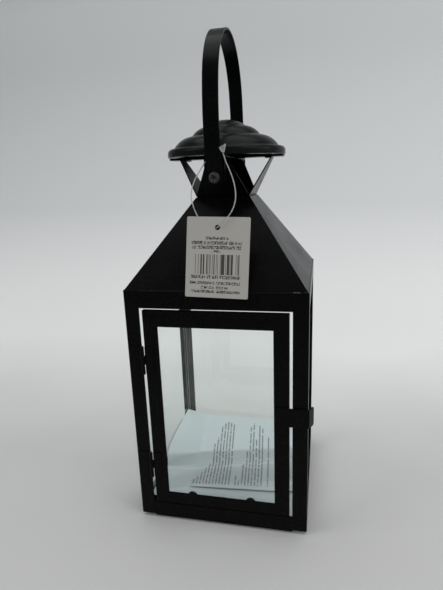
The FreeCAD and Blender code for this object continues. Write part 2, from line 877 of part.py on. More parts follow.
def hang_tag():
    """A card that hangs from its hole and leans on the front header's top edge."""
    body = new_body("hang_tag")
    left = d.tag_hole_aside - d.tag_width / 2
    right = d.tag_hole_aside + d.tag_width / 2
    bottom = d.tag_hole_drop - d.tag_height
    card = box(left, right, bottom, d.tag_hole_drop)
    pad(body, "card", "XZ", -d.card, 0.0, card)
    corners = [(left, bottom), (right, bottom), (left, d.tag_hole_drop), (right, d.tag_hole_drop)]
    round_off(body, "corners", d.tag_round, "Y", *corners)
    pocket(body, "hole", "XZ", -d.card * 2, d.card, Circle(0.0, 0.0, d.tag_hole))
    lean = math.radians(d.tag_lean.value)
    outward = FreeCAD.Vector(0, -math.cos(lean), math.sin(lean))
    upward = FreeCAD.Vector(0, math.sin(lean), math.cos(lean))
    eave = FreeCAD.Vector(d.tag_side.value, -face.value, d.body_top.value)
    turned = FreeCAD.Rotation(FreeCAD.Vector(0, 1, 0), d.tag_turn.value)
    leaned = FreeCAD.Rotation(FreeCAD.Vector(1, 0, 0), -d.tag_lean.value)
    place = eave + outward * d.tag_gap.value + upward * d.tag_reach.value
    body.Placement = FreeCAD.Placement(place, leaned.multiply(turned))


# Centre line of the loop's filament: down from its head to the right of the handle's front leg, through the
# tag's hole, up behind the tag, between the cap's rim and the leg, and back to the head.
LOOP_ROUTE = [
    (7.2, -47.0, 256.0), (8.4, -47.0, 251.4), (10.9, -48.0, 246.2), (13.4, -49.3, 240.2), (15.0, -50.6, 233.7),
    (15.1, -51.7, 227.8), (13.3, -52.9, 222.0), (9.6, -54.1, 216.9), (5.4, -54.4, 213.0), (2.0, -52.1, 210.8),
    (-1.8, -51.4, 211.2), (-6.0, -50.9, 213.6), (-9.6, -50.6, 218.4), (-12.4, -49.7, 224.4),
    (-13.9, -48.3, 230.6), (-13.2, -46.6, 236.6), (-10.9, -44.5, 242.4), (-7.8, -42.1, 247.6),
    (-4.8, -41.05, 252.2), (-0.6, -41.8, 256.8), (2.2, -41.8, 258.6), (4.8, -41.75, 259.6), (7.1, -42.1, 260.1),
    (8.4, -43.9, 259.6), (8.4, -46.0, 259.6),
]


# The lock head's foot, half its width, and the two corners of its crest.
HEAD_FOOT = 1.2
HEAD_CREST = [(9.2, 261.0), (5.0, 258.9)]


def loop_path(route):
    """Straight runs joined by tangent arcs, each as large as its two runs allow."""
    points = [FreeCAD.Vector(*point) for point in route]
    edges = []
    start = points[0]
    radii = []
    for before, corner, after in zip(points, points[1:], points[2:]):
        into = corner - before
        out = after - corner
        half_turn = into.getAngle(out) / 2
        cut = 0.45 * min(into.Length, out.Length)
        radius = cut / math.tan(half_turn)
        radii.append(radius)
        into.normalize()
        out.normalize()
        first = corner - into * cut
        last = corner + out * cut
        inward = (out - into).normalize()
        depth = radius / math.cos(half_turn) - radius
        edges.append(Part.LineSegment(start, first).toShape())
        edges.append(Part.Arc(first, corner + inward * depth, last).toShape())
        start = last
    edges.append(Part.LineSegment(start, points[-1]).toShape())
    print("loop radii", ", ".join("%.1f" % radius for radius in radii))
    return Part.Wire(edges)


def tag_loop():
    """The filament as one tube along its route."""
    path = loop_path(LOOP_ROUTE)
    radius = d.loop.value / 2
    start = FreeCAD.Vector(*LOOP_ROUTE[0])
    direction = FreeCAD.Vector(*LOOP_ROUTE[1]) - start
    section = Part.Wire([Part.Circle(start, direction, radius).toShape()])
    tube = path.makePipeShell([section], True, False)
    expected = math.pi * radius ** 2 * path.Length
    print("loop length %.1f, volume %.3f of %.3f" % (path.Length, tube.Volume, expected))
    feature = doc.addObject("Part::Feature", "tag_loop")
    feature.Label = "tag_loop"
    feature.Shape = tube
    feature.Placement = FreeCAD.Placement()


def tag_loop_head():
    """The loop's wedge-shaped lock, to the right of the handle's front leg; the filament leaves it square."""
    body = new_body("tag_loop_head")
    first, second, last = (FreeCAD.Vector(*LOOP_ROUTE[index]) for index in (0, 1, -1))
    run = second - first
    across = FreeCAD.Vector(-run.z, 0, run.x).normalize() * HEAD_FOOT
    foot = [first - across, first + across]
    wedge = [(corner.x, corner.z) for corner in foot] + HEAD_CREST
    pad(body, "wedge", "XZ", last.y - d.loop_head, last.y, wedge)


# The leaflet's creases at the flap's fold, the right edge and the flap's edge: the place of each from the
# middle as a share of the leaflet's half length, and its height on the floor.
CREASES = [
    ((-1.0, 2.6), (-1.0, 2.6), (-1.0, 12.2)), ((-0.9, 0.0), (-0.9, 0.0), (-0.893, 12.2)),
    ((-0.31, 0.0), (-0.155, 0.0), (-0.583, 10.7)), ((-0.03, 2.2), (0.435, 2.6), (-0.291, 9.2)),
    ((0.107, 0.9), (0.524, 2.2), (-0.245, 10.2)), ((0.264, 8.7), (0.627, 9.5), (-0.223, 20.2)),
    ((0.35, 10.4), (0.689, 11.6), (-0.097, 25.7)), ((1.0, 23.1), (1.0, 23.1), (1.0, 27.3)),
]


def paper_leaflet():
    """A leaflet on the tray's floor; its rear half rises to the rear pane and its flap to the left pane."""
    body = new_body("paper_leaflet")
    half = pane_face - d.glass - d.clip_foot - d.paper_margin
    stations = []
    for name, across, line in (("flap", d.paper_rest + d.glass - pane_face, 2), ("fold", -d.paper_fold, 0),
                               ("edge", half, 1)):
        strip = [(half * crease[line][0], d.sheet + crease[line][1]) for crease in reversed(CREASES)]
        stations.append(new_sketch(body, name, "YZ", across, [Fold(strip, d.paper)]))
    feature = body.newObject("PartDesign::AdditiveLoft", "paper_leaflet_sheet")
    feature.Profile = stations[0]
    feature.Sections = stations[1:]
    feature.Ruled = True
    grown(body, "sheet", 0.0, 1)


# ---------------------------------------------------------------- assembly

for corner, turned in CORNERS.items():
    post(corner, turned)
for side, turned in SIDES.items():
    header(side, turned)
    sill(side, turned)
    roof_panel(side, turned)
    neck_leg(side, turned)
    if side != "front":
        pane(side, turned)
        pane_clips(side, turned)
base_tray()
cap_bracket()
cap()
handle()
handle_rivets()
door_frame()
door_glass()
door_glass_clips()
upper_hinge = door_top - d.upper_hinge_inset - d.hinge_height
lower_hinge = door_bottom + d.lower_hinge_inset
for level, bottom in (("upper", upper_hinge), ("lower", lower_hinge)):
    hinge_leaf("%s_hinge_post_leaf" % level, bottom, -1, d.post_leaf_reach, (0, 2), d.pin_radius)
    hinge_leaf("%s_hinge_door_leaf" % level, bottom, 1, d.door_leaf_reach, (1,), d.pin_radius + d.pin_play)
    hinge_pin("%s_hinge_pin" % level, bottom)
latch_strap()
hang_tag()
tag_loop()
tag_loop_head()
paper_leaflet()
doc.recompute()

nodes = [obj for obj in doc.Objects if obj.TypeId == "PartDesign::Body" or obj.Name == "tag_loop"]
for obj in doc.Objects:
    if "Invalid" in obj.State or "Error" in obj.State:
        raise RuntimeError("%s failed: %s" % (obj.Label, obj.State))
for node in nodes:
    if node.Shape.isNull() or not node.Shape.isValid():
        raise RuntimeError("%s has no valid shape" % node.Label)

os.makedirs("parts", exist_ok=True)
for node in nodes:
    node.Shape.exportStep("parts/%s.step" % node.Label)
    print("%-24s %d solids, %.1f mm3" % (node.Label, len(node.Shape.Solids), node.Shape.Volume))
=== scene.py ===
import math

import bmesh
import bpy
from mathutils import Matrix, Vector

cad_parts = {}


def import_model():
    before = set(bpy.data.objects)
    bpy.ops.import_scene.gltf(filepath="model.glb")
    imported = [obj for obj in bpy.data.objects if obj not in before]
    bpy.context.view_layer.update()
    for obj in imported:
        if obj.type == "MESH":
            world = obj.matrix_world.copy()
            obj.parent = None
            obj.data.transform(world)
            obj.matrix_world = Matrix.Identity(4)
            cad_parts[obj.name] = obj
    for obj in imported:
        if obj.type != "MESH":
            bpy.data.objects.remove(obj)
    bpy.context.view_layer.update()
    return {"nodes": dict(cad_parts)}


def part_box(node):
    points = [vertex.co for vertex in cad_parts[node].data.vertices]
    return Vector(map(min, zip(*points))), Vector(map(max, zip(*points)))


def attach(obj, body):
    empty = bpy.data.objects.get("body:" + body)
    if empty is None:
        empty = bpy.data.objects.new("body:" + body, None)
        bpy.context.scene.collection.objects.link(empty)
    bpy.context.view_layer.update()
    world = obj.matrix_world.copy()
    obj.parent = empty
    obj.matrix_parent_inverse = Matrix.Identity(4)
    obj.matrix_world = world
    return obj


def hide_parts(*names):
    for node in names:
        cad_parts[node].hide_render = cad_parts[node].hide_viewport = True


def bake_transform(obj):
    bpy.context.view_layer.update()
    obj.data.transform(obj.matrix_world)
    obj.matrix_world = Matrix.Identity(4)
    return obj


# %% [markdown]
# # A candle lantern with a loop handle
#
# This lesson dresses a small lantern: a square box of folded black sheet with four glass sides, one of
# them a door, under a hipped roof, a ventilated neck and a round cap. A flat band swings over the cap as
# its handle. A card hangs in front of the roof on a nylon loop, and a folded leaflet lies inside.
#
# The engineering model is loaded first. Its pieces are right in size and place, so this file only adds
# what a drawing leaves out: soft edges, finishes, print, light and a camera. Lengths are in metres.
# Z is up, the door looks along -Y, and the origin is under the middle of the tray.

# %% Load the engineering model
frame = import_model()
MM = 0.001

# %% [markdown]
# ## The camera
#
# The camera stands close in front, a little to the right, with a short lens that looks down, so the
# posts lean together towards the floor. A camera can be dragged into place by eye, or given numbers.
# Numbers are better here, because every later comparison depends on the same view.

# %% Place the camera
camera_data = bpy.data.cameras.new("camera")
camera_data.lens = 27.87
camera_data.sensor_width = 36.0
camera_data.clip_start = 0.01
camera = bpy.data.objects.new("camera", camera_data)
bpy.context.scene.collection.objects.link(camera)
camera.location = (0.0662, -0.3291, 0.2407)
camera.rotation_euler = [math.radians(turn) for turn in (75.71, 2.046, 12.089)]
bpy.context.scene.camera = camera
print("camera lens", camera_data.lens)

# %% [markdown]
# ## The nylon loop
#
# A thin nylon filament ties the card to the handle. It leaves a small lock, falls through the hole in
# the card, rises behind it, passes behind the handle's leg and goes back into the lock. Its line is
# settled by listed points. A NURBS spline of order 3 runs smoothly between them, which looks like
# a springy filament, where straight pieces with rounded corners would look like bent wire.

# %% Draw the loop's line
LOOP_POINTS = [
    (7.2, -47.0, 256.0), (8.4, -47.0, 251.4), (10.9, -48.0, 246.2), (13.4, -49.3, 240.2), (15.0, -50.6, 233.7),
    (15.1, -51.7, 227.8), (13.3, -52.9, 222.0), (9.6, -54.1, 216.9), (5.4, -54.4, 213.0), (2.0, -52.1, 210.8),
    (-1.8, -51.4, 211.2), (-6.0, -50.9, 213.6), (-9.6, -50.6, 218.4), (-12.4, -49.7, 224.4),
    (-13.9, -48.3, 230.6), (-13.2, -46.6, 236.6), (-10.9, -44.5, 242.4), (-7.8, -42.1, 247.6),
    (-4.8, -41.05, 252.2), (-0.6, -41.8, 256.8), (2.2, -41.8, 258.6), (4.8, -41.75, 259.6), (7.1, -42.1, 260.1),
    (8.4, -43.9, 259.6), (8.4, -46.0, 259.6),
]
FILAMENT = 0.7 * MM


def loop_curve(name):
    """An open NURBS spline through the loop's points."""
    data = bpy.data.curves.new(name, "CURVE")
    data.dimensions = "3D"
    data.resolution_u = 8
    spline = data.splines.new("NURBS")
    spline.points.add(len(LOOP_POINTS) - 1)
    for point, place in zip(spline.points, LOOP_POINTS):
        point.co = (*(MM * part for part in place), 1)
    spline.order_u = 3
    spline.use_endpoint_u = True
    piece = bpy.data.objects.new(name, data)
    bpy.context.scene.collection.objects.link(piece)
    return piece


centre_line = loop_curve("loop_centre_line")
line_mesh = bpy.data.meshes.new_from_object(centre_line)
bpy.data.objects.remove(centre_line)

# %% [markdown]
# The line becomes a round tube by giving the curve a bevel and converting it to a mesh.

# %% Turn the line into a filament
tag_filament = loop_curve("tag_filament")
tag_filament.data.bevel_depth = FILAMENT / 2
tag_filament.data.bevel_resolution = 3
tag_filament.data.use_fill_caps = True
bpy.ops.object.select_all(action="DESELECT")
bpy.context.view_layer.objects.active = tag_filament
tag_filament.select_set(True)
bpy.ops.object.convert(target="MESH")
bpy.ops.object.mode_set(mode="EDIT")
bpy.ops.mesh.select_all(action="SELECT")
bpy.ops.mesh.remove_doubles(threshold=0.01 * MM)
bpy.ops.mesh.normals_make_consistent(inside=False)
bpy.ops.object.mode_set(mode="OBJECT")
bpy.ops.object.shade_smooth()
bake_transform(tag_filament)
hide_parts("tag_loop")
print("filament faces", len(tag_filament.data.polygons))

# %% [markdown]
# ## The stage and the light
#
# The lantern stands on a pale sheet that curves up behind it into a backdrop. One way is a floor and a
# wall; a single bent sheet is better, because it leaves no line behind the object. It is a plane whose
# rear edge is extruded upwards, and a bevel rounds the bend.

# %% Helpers for edit mode
def only(piece):
    """Makes one object the selected and active one, in object mode."""
    if bpy.context.mode != "OBJECT":
        bpy.ops.object.mode_set(mode="OBJECT")
    bpy.ops.object.select_all(action="DESELECT")
    bpy.context.view_layer.objects.active = piece
    piece.select_set(True)


def edit(piece, kind="FACE"):
    """Opens a piece in edit mode with nothing picked."""
    only(piece)
    bpy.ops.object.mode_set(mode="EDIT")
    bpy.ops.mesh.select_mode(type=kind)
    bpy.ops.mesh.select_all(action="DESELECT")


def pick(kind, test):
    """Adds to the picked set each face, edge or vertex that passes a test, and says how many did."""
    bpy.ops.mesh.select_mode(type=kind)
    shape = bmesh.from_edit_mesh(bpy.context.object.data)
    found = [part for part in {"FACE": shape.faces, "EDGE": shape.edges, "VERT": shape.verts}[kind] if test(part)]
    for part in found:
        part.select_set(True)
    bmesh.update_edit_mesh(bpy.context.object.data)
    return len(found)


def middle(part):
    """The middle of an edge or a face."""
    return sum((vertex.co for vertex in part.verts), Vector()) / len(part.verts)


def done(piece, angle=30):
    """Leaves edit mode and shades the piece smooth except at its corners."""
    only(piece)
    bpy.ops.object.shade_smooth_by_angle(angle=math.radians(angle))


print("helpers ready")

# %% Make the sheet that the lantern stands on
STAGE_WIDTH, STAGE_DEPTH, WALL_HEIGHT, WALL_BEND = 3.6, 2.2, 2.4, 0.6
WALL_PLACE = STAGE_DEPTH / 2
NEAR = 0.01
bpy.ops.mesh.primitive_plane_add(size=1.0, location=(0, 0, 0))
stage_sheet = bpy.context.object
stage_sheet.name = "stage_sheet"
stage_sheet.scale = (STAGE_WIDTH, STAGE_DEPTH, 1.0)
bpy.ops.object.transform_apply(location=True, rotation=True, scale=True)
edit(stage_sheet)
pick("EDGE", lambda edge: abs(middle(edge).y - WALL_PLACE) < NEAR)
bpy.ops.mesh.extrude_region_move(TRANSFORM_OT_translate={"value": (0, 0, WALL_HEIGHT)})
bpy.ops.mesh.select_all(action="DESELECT")
pick("EDGE", lambda edge: abs(middle(edge).y - WALL_PLACE) < NEAR and abs(middle(edge).z) < NEAR)
bpy.ops.mesh.bevel(offset=WALL_BEND, segments=24, affect="EDGES")
done(stage_sheet, angle=60)
print("stage faces", len(stage_sheet.data.polygons))

# %% [markdown]
# Soft daylight falls from above. A wide lamp overhead gives most of it. Two dim ones in front, left and
# right, fill the card and the handle, and one at the right is turned to the backdrop. The room gives little
# light, which keeps the black front deep, but where it is seen past the sheet it is nearly as pale as the
# sheet: the world shows one colour to the eye and gives the light of another.

# %% Hang the lamps
def soft_lamp(name, place, aim, size, power):
    """A flat lamp at a place, turned towards a point."""
    data = bpy.data.lights.new(name, "AREA")
    data.shape = "RECTANGLE"
    data.size, data.size_y = size
    data.energy = power
    lamp = bpy.data.objects.new(name, data)
    bpy.context.scene.collection.objects.link(lamp)
    lamp.location = place
    lamp.rotation_euler = (Vector(aim) - Vector(place)).to_track_quat("-Z", "Y").to_euler()


soft_lamp("overhead", (0.0, 0.0, 2.6), (0, 0, 0), (3.4, 2.2), 41)
soft_lamp("left_front", (-1.3, -0.8, 1.1), (0, 0, 0.15), (0.9, 0.9), 5.5)
soft_lamp("right_front", (1.3, -0.8, 1.1), (0, 0, 0.15), (0.9, 0.9), 6)
soft_lamp("right_back", (1.5, 0.1, 0.8), (0.2, 1.1, 0.35), (0.9, 0.9), 5)

# %% Light the room
ROOM_LIGHT, ROOM_STRENGTH, ROOM_SEEN = (0.85, 0.92, 1.0, 1), 0.15, (0.50, 0.51, 0.515, 1)
world = bpy.data.worlds.new("room")
bpy.context.scene.world = world
world.use_nodes = True
nodes, links = world.node_tree.nodes, world.node_tree.links
dim = nodes["Background"]
dim.inputs["Color"].default_value = ROOM_LIGHT
dim.inputs["Strength"].default_value = ROOM_STRENGTH
pale = nodes.new("ShaderNodeBackground")
pale.inputs["Color"].default_value = ROOM_SEEN
ray = nodes.new("ShaderNodeLightPath")
seen = nodes.new("ShaderNodeMath")
seen.operation = "MAXIMUM"
links.new(ray.outputs["Is Camera Ray"], seen.inputs[0])
links.new(ray.outputs["Is Transmission Ray"], seen.inputs[1])
either = nodes.new("ShaderNodeMixShader")
links.new(seen.outputs[0], either.inputs[0])
links.new(dim.outputs[0], either.inputs[1])
links.new(pale.outputs[0], either.inputs[2])
links.new(either.outputs[0], nodes["World Output"].inputs["Surface"])
bpy.context.scene.view_settings.view_transform = "Standard"
print("room nodes", len(nodes))

# %% [markdown]
# ## Finishes
#
# A finish is a node tree. Drawing it by hand is pleasant but slow to read, so two small helpers write
# it as formulas: adding or multiplying two values makes the Math node that does so, and one method adds
# any other node. What varies over a surface is wired in, and what doesn't is set on the shader.

# %% Arithmetic on a node's output
class Value:
    """One output in a finish's node tree. Arithmetic on it adds Math nodes."""

    def __init__(self, finish, socket):
        self.finish = finish
        self.socket = socket

    def __add__(self, other):
        return self.finish.maths("ADD", self, other)

    def __sub__(self, other):
        return self.finish.maths("SUBTRACT", self, other)

    def __rsub__(self, other):
        return self.finish.maths("SUBTRACT", other, self)

    def __mul__(self, other):
        return self.finish.maths("MULTIPLY", self, other)

    def __truediv__(self, other):
        return self.finish.maths("DIVIDE", self, other)

    def __gt__(self, other):
        return self.finish.maths("GREATER_THAN", self, other)

    def __lt__(self, other):
        return self.finish.maths("LESS_THAN", self, other)

    __radd__ = __add__
    __rmul__ = __mul__


print("outputs can be added, multiplied and compared")

# %% A finish that is written as formulas
class Finish:
    """A material whose nodes are added by formulas."""

    def __init__(self, name, **plain):
        self.material = bpy.data.materials.new(name)
        self.material.use_nodes = True
        self.tree = self.material.node_tree
        self.shader = self.tree.nodes["Principled BSDF"]
        self.output = self.tree.nodes["Material Output"]
        for socket, value in plain.items():
            self.feed(self.shader.inputs[socket.replace("_", " ")], value)

    def feed(self, socket, value):
        """Wires a value into a socket, or sets a plain number or colour on it."""
        if isinstance(value, Value):
            self.tree.links.new(value.socket, socket)
        else:
            socket.default_value = value

    def node(self, kind, settings, inputs, output=0):
        """Adds a node, makes its settings, feeds its inputs and gives one of its outputs."""
        made = self.tree.nodes.new(kind)
        for name, value in settings.items():
            if name == "stops":
                ramp_stops(made.color_ramp, value)
            else:
                setattr(made, name, value)
        for name, value in inputs.items():
            self.feed(made.inputs[name], value)
        return Value(self, made.outputs[output])

    def maths(self, operation, *values):
        """One Math node on one or two values."""
        return self.node("ShaderNodeMath", {"operation": operation}, dict(enumerate(values)))

    def place(self, kind="Object"):
        """The place of a point in the model, or on the piece's own flat map."""
        return self.node("ShaderNodeTexCoord", {}, {}, kind)

    def along(self, vector, axis):
        """How far a place lies along one axis."""
        return self.node("ShaderNodeSeparateXYZ", {}, {0: vector}, axis)

    def mix(self, share, one, other):
        """A colour part of the way from one to the other."""
        return self.node("ShaderNodeMix", {"data_type": "RGBA"}, {0: share, 6: one, 7: other}, 2)

    def share(self, value):
        """A value kept between 0 and 1."""
        return self.maths("MAXIMUM", self.maths("MINIMUM", value, 1.0), 0.0)

    def noise(self, place, size, detail=2.0, dimensions="3D"):
        """A smooth random value around 0.5, whose lumps are about as far apart as the given size."""
        vector = {"W": place / size, "Scale": 1.0} if dimensions == "1D" else {"Vector": place, "Scale": 1 / size}
        return self.node("ShaderNodeTexNoise", {"noise_dimensions": dimensions}, {**vector, "Detail": detail})

    def bump(self, height, depth):
        """Feeds the surface's direction from a height, where 1 stands for the given depth."""
        normal = self.node("ShaderNodeBump", {}, {"Height": height, "Distance": depth, "Strength": 1.0})
        self.feed(self.shader.inputs["Normal"], normal)

    def vary(self, socket, value):
        """Feeds one of the shader's own sockets."""
        self.feed(self.shader.inputs[socket], value)


def ramp_stops(ramp, stops):
    """Sets a ramp to stops of position and brightness, without blending between them."""
    ramp.interpolation = "CONSTANT"
    while len(ramp.elements) > 1:
        ramp.elements.remove(ramp.elements[-1])
    ramp.elements[0].position, first = stops[0]
    ramp.elements[0].color = (first, first, first, 1)
    for position, level in stops[1:]:
        ramp.elements.new(position).color = (level, level, level, 1)


print("node helpers ready")

# %% [markdown]
# ### Black paint
#
# The sheet is sprayed with a satin black. Close up, such paint has a fine skin like orange peel, a broad
# unevenness in its shine and a few specks of dust. The same recipe gives the body, the handle and the
# cap, with a different depth of black. The cap is spun, so faint rings run round it as well.

# %% Mix the paints
SKIN_LUMP, SHINE_PATCH, DUST_GRAIN, RING_PITCH = 0.7 * MM, 22 * MM, 0.35 * MM, 0.9 * MM
DUST_CUT = 0.73
BODY_BLACK, HANDLE_BLACK = (0.0027, 0.0026, 0.0025, 1), (0.0027, 0.003, 0.003, 1)
CAP_GUNMETAL, DUST = (0.0105, 0.0115, 0.0105, 1), (0.16, 0.16, 0.15, 1)


def paint(name, colour, dullness):
    """A sprayed paint. Gives the finish, the place it is read at and the skin for its bump."""
    finish = Finish(name, Specular_IOR_Level=0.075)
    place = finish.place()
    skin = finish.noise(place, SKIN_LUMP)
    broad = finish.noise(place, SHINE_PATCH, 3.0)
    specks = finish.noise(place, DUST_GRAIN, 1.0) > DUST_CUT
    film = finish.mix(broad, tuple(part * 0.75 for part in colour[:3]) + (1,), colour)
    finish.vary("Base Color", finish.mix(specks * 0.35, film, DUST))
    finish.vary("Roughness", dullness + (broad - 0.5) * 0.16 + (skin - 0.5) * 0.08 + specks * 0.2)
    return finish, place, skin


black, _, skin = paint("satin_black_paint", BODY_BLACK, 0.27)
black.bump(skin, 0.012 * MM)
black_handle, _, skin = paint("handle_black_paint", HANDLE_BLACK, 0.27)
black_handle.bump(skin, 0.015 * MM)
gunmetal, place, skin = paint("cap_gunmetal_paint", CAP_GUNMETAL, 0.25)
across, back = gunmetal.along(place, "X"), gunmetal.along(place, "Y")
from_axis = gunmetal.maths("SQRT", across * across + back * back)
rings = gunmetal.maths("SINE", from_axis * (2 * math.pi / RING_PITCH))
gunmetal.bump(skin * 0.6 + rings * 0.25, 0.02 * MM)
print("paints mixed")

# %% [markdown]
# ### Glass, pins and nylon
#
# Window glass is clear with a breath of green. Light passes through it, so for shadow rays the finish
# turns into a plain transparent one; without that, everything behind the panes would lie in the dark.
# A few fingerprints are areas where it is slightly less smooth. The hinge pins are dark wire, and the
# nylon of the loop is milky and lets much of the light through.

# %% Mix the glass
GLASS_TINT = (0.96, 0.99, 0.975, 1)
GLASS_BENDING = 1.48
FINGERPRINT, SMUDGE_CUT = 9 * MM, 0.62
glass = Finish("window_glass", Base_Color=GLASS_TINT, Transmission_Weight=1.0, IOR=GLASS_BENDING)
smudge = glass.noise(glass.place(), FINGERPRINT, 4.0)
glass.vary("Roughness", (smudge > SMUDGE_CUT) * (smudge - SMUDGE_CUT) * 0.10)
clear = glass.node("ShaderNodeBsdfTransparent", {}, {"Color": GLASS_TINT})
shadow_ray = glass.node("ShaderNodeLightPath", {}, {}, "Is Shadow Ray")
pane_mix = glass.node("ShaderNodeMixShader", {}, {0: shadow_ray, 2: clear})
glass.feed(pane_mix.socket.node.inputs[1], Value(glass, glass.shader.outputs[0]))
glass.feed(glass.output.inputs["Surface"], pane_mix)

ground_glass = Finish("ground_glass_edge", Transmission_Weight=0.55, IOR=GLASS_BENDING)
frost = ground_glass.noise(ground_glass.place(), 0.3 * MM)
ground_glass.vary("Base Color", ground_glass.mix(frost, (0.42, 0.52, 0.48, 1), (0.62, 0.72, 0.68, 1)))
ground_glass.vary("Roughness", 0.45 + frost * 0.25)
ground_glass.bump(frost, 0.02 * MM)
print("two kinds of glass mixed")

# %% Mix the pins' wire and the nylon
wire = Finish("hinge_pin_wire", Metallic=0.85, Specular_IOR_Level=0.4)
drawn = wire.noise(wire.place(), 0.25 * MM)
wire.vary("Base Color", wire.mix(drawn, (0.025, 0.025, 0.027, 1), (0.06, 0.06, 0.062, 1)))
wire.vary("Roughness", 0.3 + drawn * 0.25)

nylon = Finish("milky_nylon", Transmission_Weight=0.45, IOR=1.53)
cloud = nylon.noise(nylon.place(), 2.5 * MM)
nylon.vary("Base Color", nylon.mix(cloud, (0.50, 0.53, 0.54, 1), (0.86, 0.88, 0.88, 1)))
nylon.vary("Roughness", 0.22 + cloud * 0.2)
print("wire and nylon mixed")

# %% [markdown]
# ### The card's print
#
# The card is thin board with a faint fibre. Its print stands for a label without saying anything: short
# dashes in rows, like words too small to read, and a block of stripes. The print is drawn on the card's
# own UV map, where (0, 0) is the lower left corner and (1, 1) the upper right, so that it stays on the
# card when the card swings. Random values cut at a threshold give the marks in a row and the gaps between
# them, and one random value for each step across gives the stripes.

# %% Mix the bare card
CARD_WHITE, CARD_SHADE, CARD_INK = (0.572, 0.547, 0.505, 1), (0.52, 0.50, 0.46, 1), (0.055, 0.045, 0.04, 1)
CARD_FIBRE = 0.5 * MM


def card(name):
    """A board's finish, its fibre and its colour."""
    finish = Finish(name, Specular_IOR_Level=0.3)
    fibre = finish.noise(finish.place(), CARD_FIBRE, 4.0)
    finish.bump(fibre, 0.01 * MM)
    return finish, fibre, finish.mix(fibre, CARD_SHADE, CARD_WHITE)


board, fibre, bare = card("card_board")
board.vary("Base Color", bare)
board.vary("Roughness", 0.55 + fibre * 0.2)
print("bare card mixed")

# %% Print the card
def band(value, low, high):
    """1 where a value is between two numbers, else 0."""
    return (value > low) * (value < high)


# Height of each row of dashes from the card's foot, its half height, and where it starts and ends.
CARD_ROWS = [
    (0.738, 0.018, 0.31, 0.67), (0.679, 0.021, 0.085, 0.885), (0.623, 0.021, 0.09, 0.87),
    (0.574, 0.015, 0.40, 0.55), (0.257, 0.021, 0.07, 0.87), (0.182, 0.018, 0.07, 0.87),
    (0.126, 0.017, 0.25, 0.68), (0.075, 0.017, 0.09, 0.875),
]
# The block of stripes: its foot and top, its left and right end, and the width of one stripe.
STRIPES_UP, STRIPES_OVER, STRIPE = (0.287, 0.538), (0.143, 0.876), 0.0078
# The size of a mark and of a word, and the levels at which their random values are cut. Every row reads
# them at a place of its own, so that no two are alike.
MARK, MARK_CUT, WORD, WORD_CUT = 0.019, 0.47, 0.05, 0.36
ROW_SHIFT = 7.3
printed, fibre, bare = card("printed_card")
chart = printed.place("UV")
over, up = printed.along(chart, "X"), printed.along(chart, "Y")
marks = printed.noise(chart, MARK, 1.0) > MARK_CUT
ink = 0.0
for row, (height, half, start, end) in enumerate(CARD_ROWS):
    words = printed.noise(over + row * ROW_SHIFT, WORD, 1.0, "1D") > WORD_CUT
    ink = ink + band(up, height - half, height + half) * band(over, start, end) * words * marks
step = printed.maths("FLOOR", over / STRIPE)
stripes = printed.node("ShaderNodeTexWhiteNoise", {"noise_dimensions": "1D"}, {"W": step}) > 0.5
ink = ink + band(up, *STRIPES_UP) * band(over, *STRIPES_OVER) * stripes
printed.vary("Base Color", printed.mix(printed.maths("MINIMUM", ink, 1.0) * 0.94, bare, CARD_INK))
printed.vary("Roughness", 0.5 + fibre * 0.2 - ink * 0.1)
print("card print has", len(CARD_ROWS), "rows")

# %% [markdown]
# ### The leaflet's print
#
# The leaflet is thin, bluish paper. Its text runs from front to back in three columns, and stands for
# instructions without saying anything. Each row has its own length: the row's number is looked up in a
# ramp of steps. Its map is the flat sheet in decimetres, with the middle at (0.5, 0.5).

# %% The paper's tone and its painted shade
FLAP_FOLD = -33.0
# Two bends that run slantwise: the place where each crosses the flap's fold, in millimetres from the
# sheet's middle, and how far it moves for each millimetre to the right and to the left of the fold.
CREASE_LINE, RIDGE_LINE = (13.6, 0.221, 1.13), (-1.5, 0.283, 0.608)
# The last colour is the painted shade that the paper is mixed towards in front of the crease.
PAPER_SHADE, PAPER_PALE, PAINTED_SHADE_TONE = (0.51, 0.565, 0.595, 1), (0.59, 0.635, 0.66, 1), (0.05, 0.05, 0.05, 1)


def paper(name):
    """Bluish thin paper, with painted shade where it lies on the black tray in front of the crease, and painted
    light along the ridge and near the front.
    """
    finish = Finish(name, Specular_IOR_Level=0.25)
    chart = finish.place("UV")
    across, along = finish.along(chart, "X") * 100 - 50, finish.along(chart, "Y") * 100 - 50
    from_fold = across - FLAP_FOLD
    right, left = finish.maths("MAXIMUM", from_fold, 0.0), finish.maths("MINIMUM", from_fold, 0.0)

    def before(line):
        """How far in front of a slanting bend a point lies."""
        at_fold, to_right, to_left = line
        return at_fold + right * to_right + left * to_left - along

    before_crease, from_ridge = before(CREASE_LINE), finish.maths("ABSOLUTE", before(RIDGE_LINE))
    # Painted shade: greyer in front of the crease and more so 14 mm on. Painted light: paler along the ridge and
    # beyond 34 mm.
    painted_shade_share = finish.share(before_crease * 0.8) * 0.28 + finish.share((before_crease - 14) * 0.12) * 0.12
    painted_shade_share = painted_shade_share - finish.share(1 - from_ridge * 0.5) * 0.14 - finish.share((before_crease - 34) * 0.3) * 0.15
    pulp = finish.noise(finish.place(), 1.2 * MM, 4.0)
    finish.vary("Roughness", 0.55 + pulp * 0.25)
    finish.bump(pulp, 0.02 * MM)
    return finish, chart, finish.mix(painted_shade_share, finish.mix(pulp, PAPER_SHADE, PAPER_PALE), PAINTED_SHADE_TONE)


blank_paper, _, blank = paper("blank_paper")
blank_paper.vary("Base Color", blank)
print("blank paper mixed")

# %% Print the leaflet
ROW_PITCH, FIRST_ROW, ROW_FOOT, PRINT_TURN = 2.6, -35.0, -17.5, 5.4
EMPTY, ROW_SPAN = -20, 70
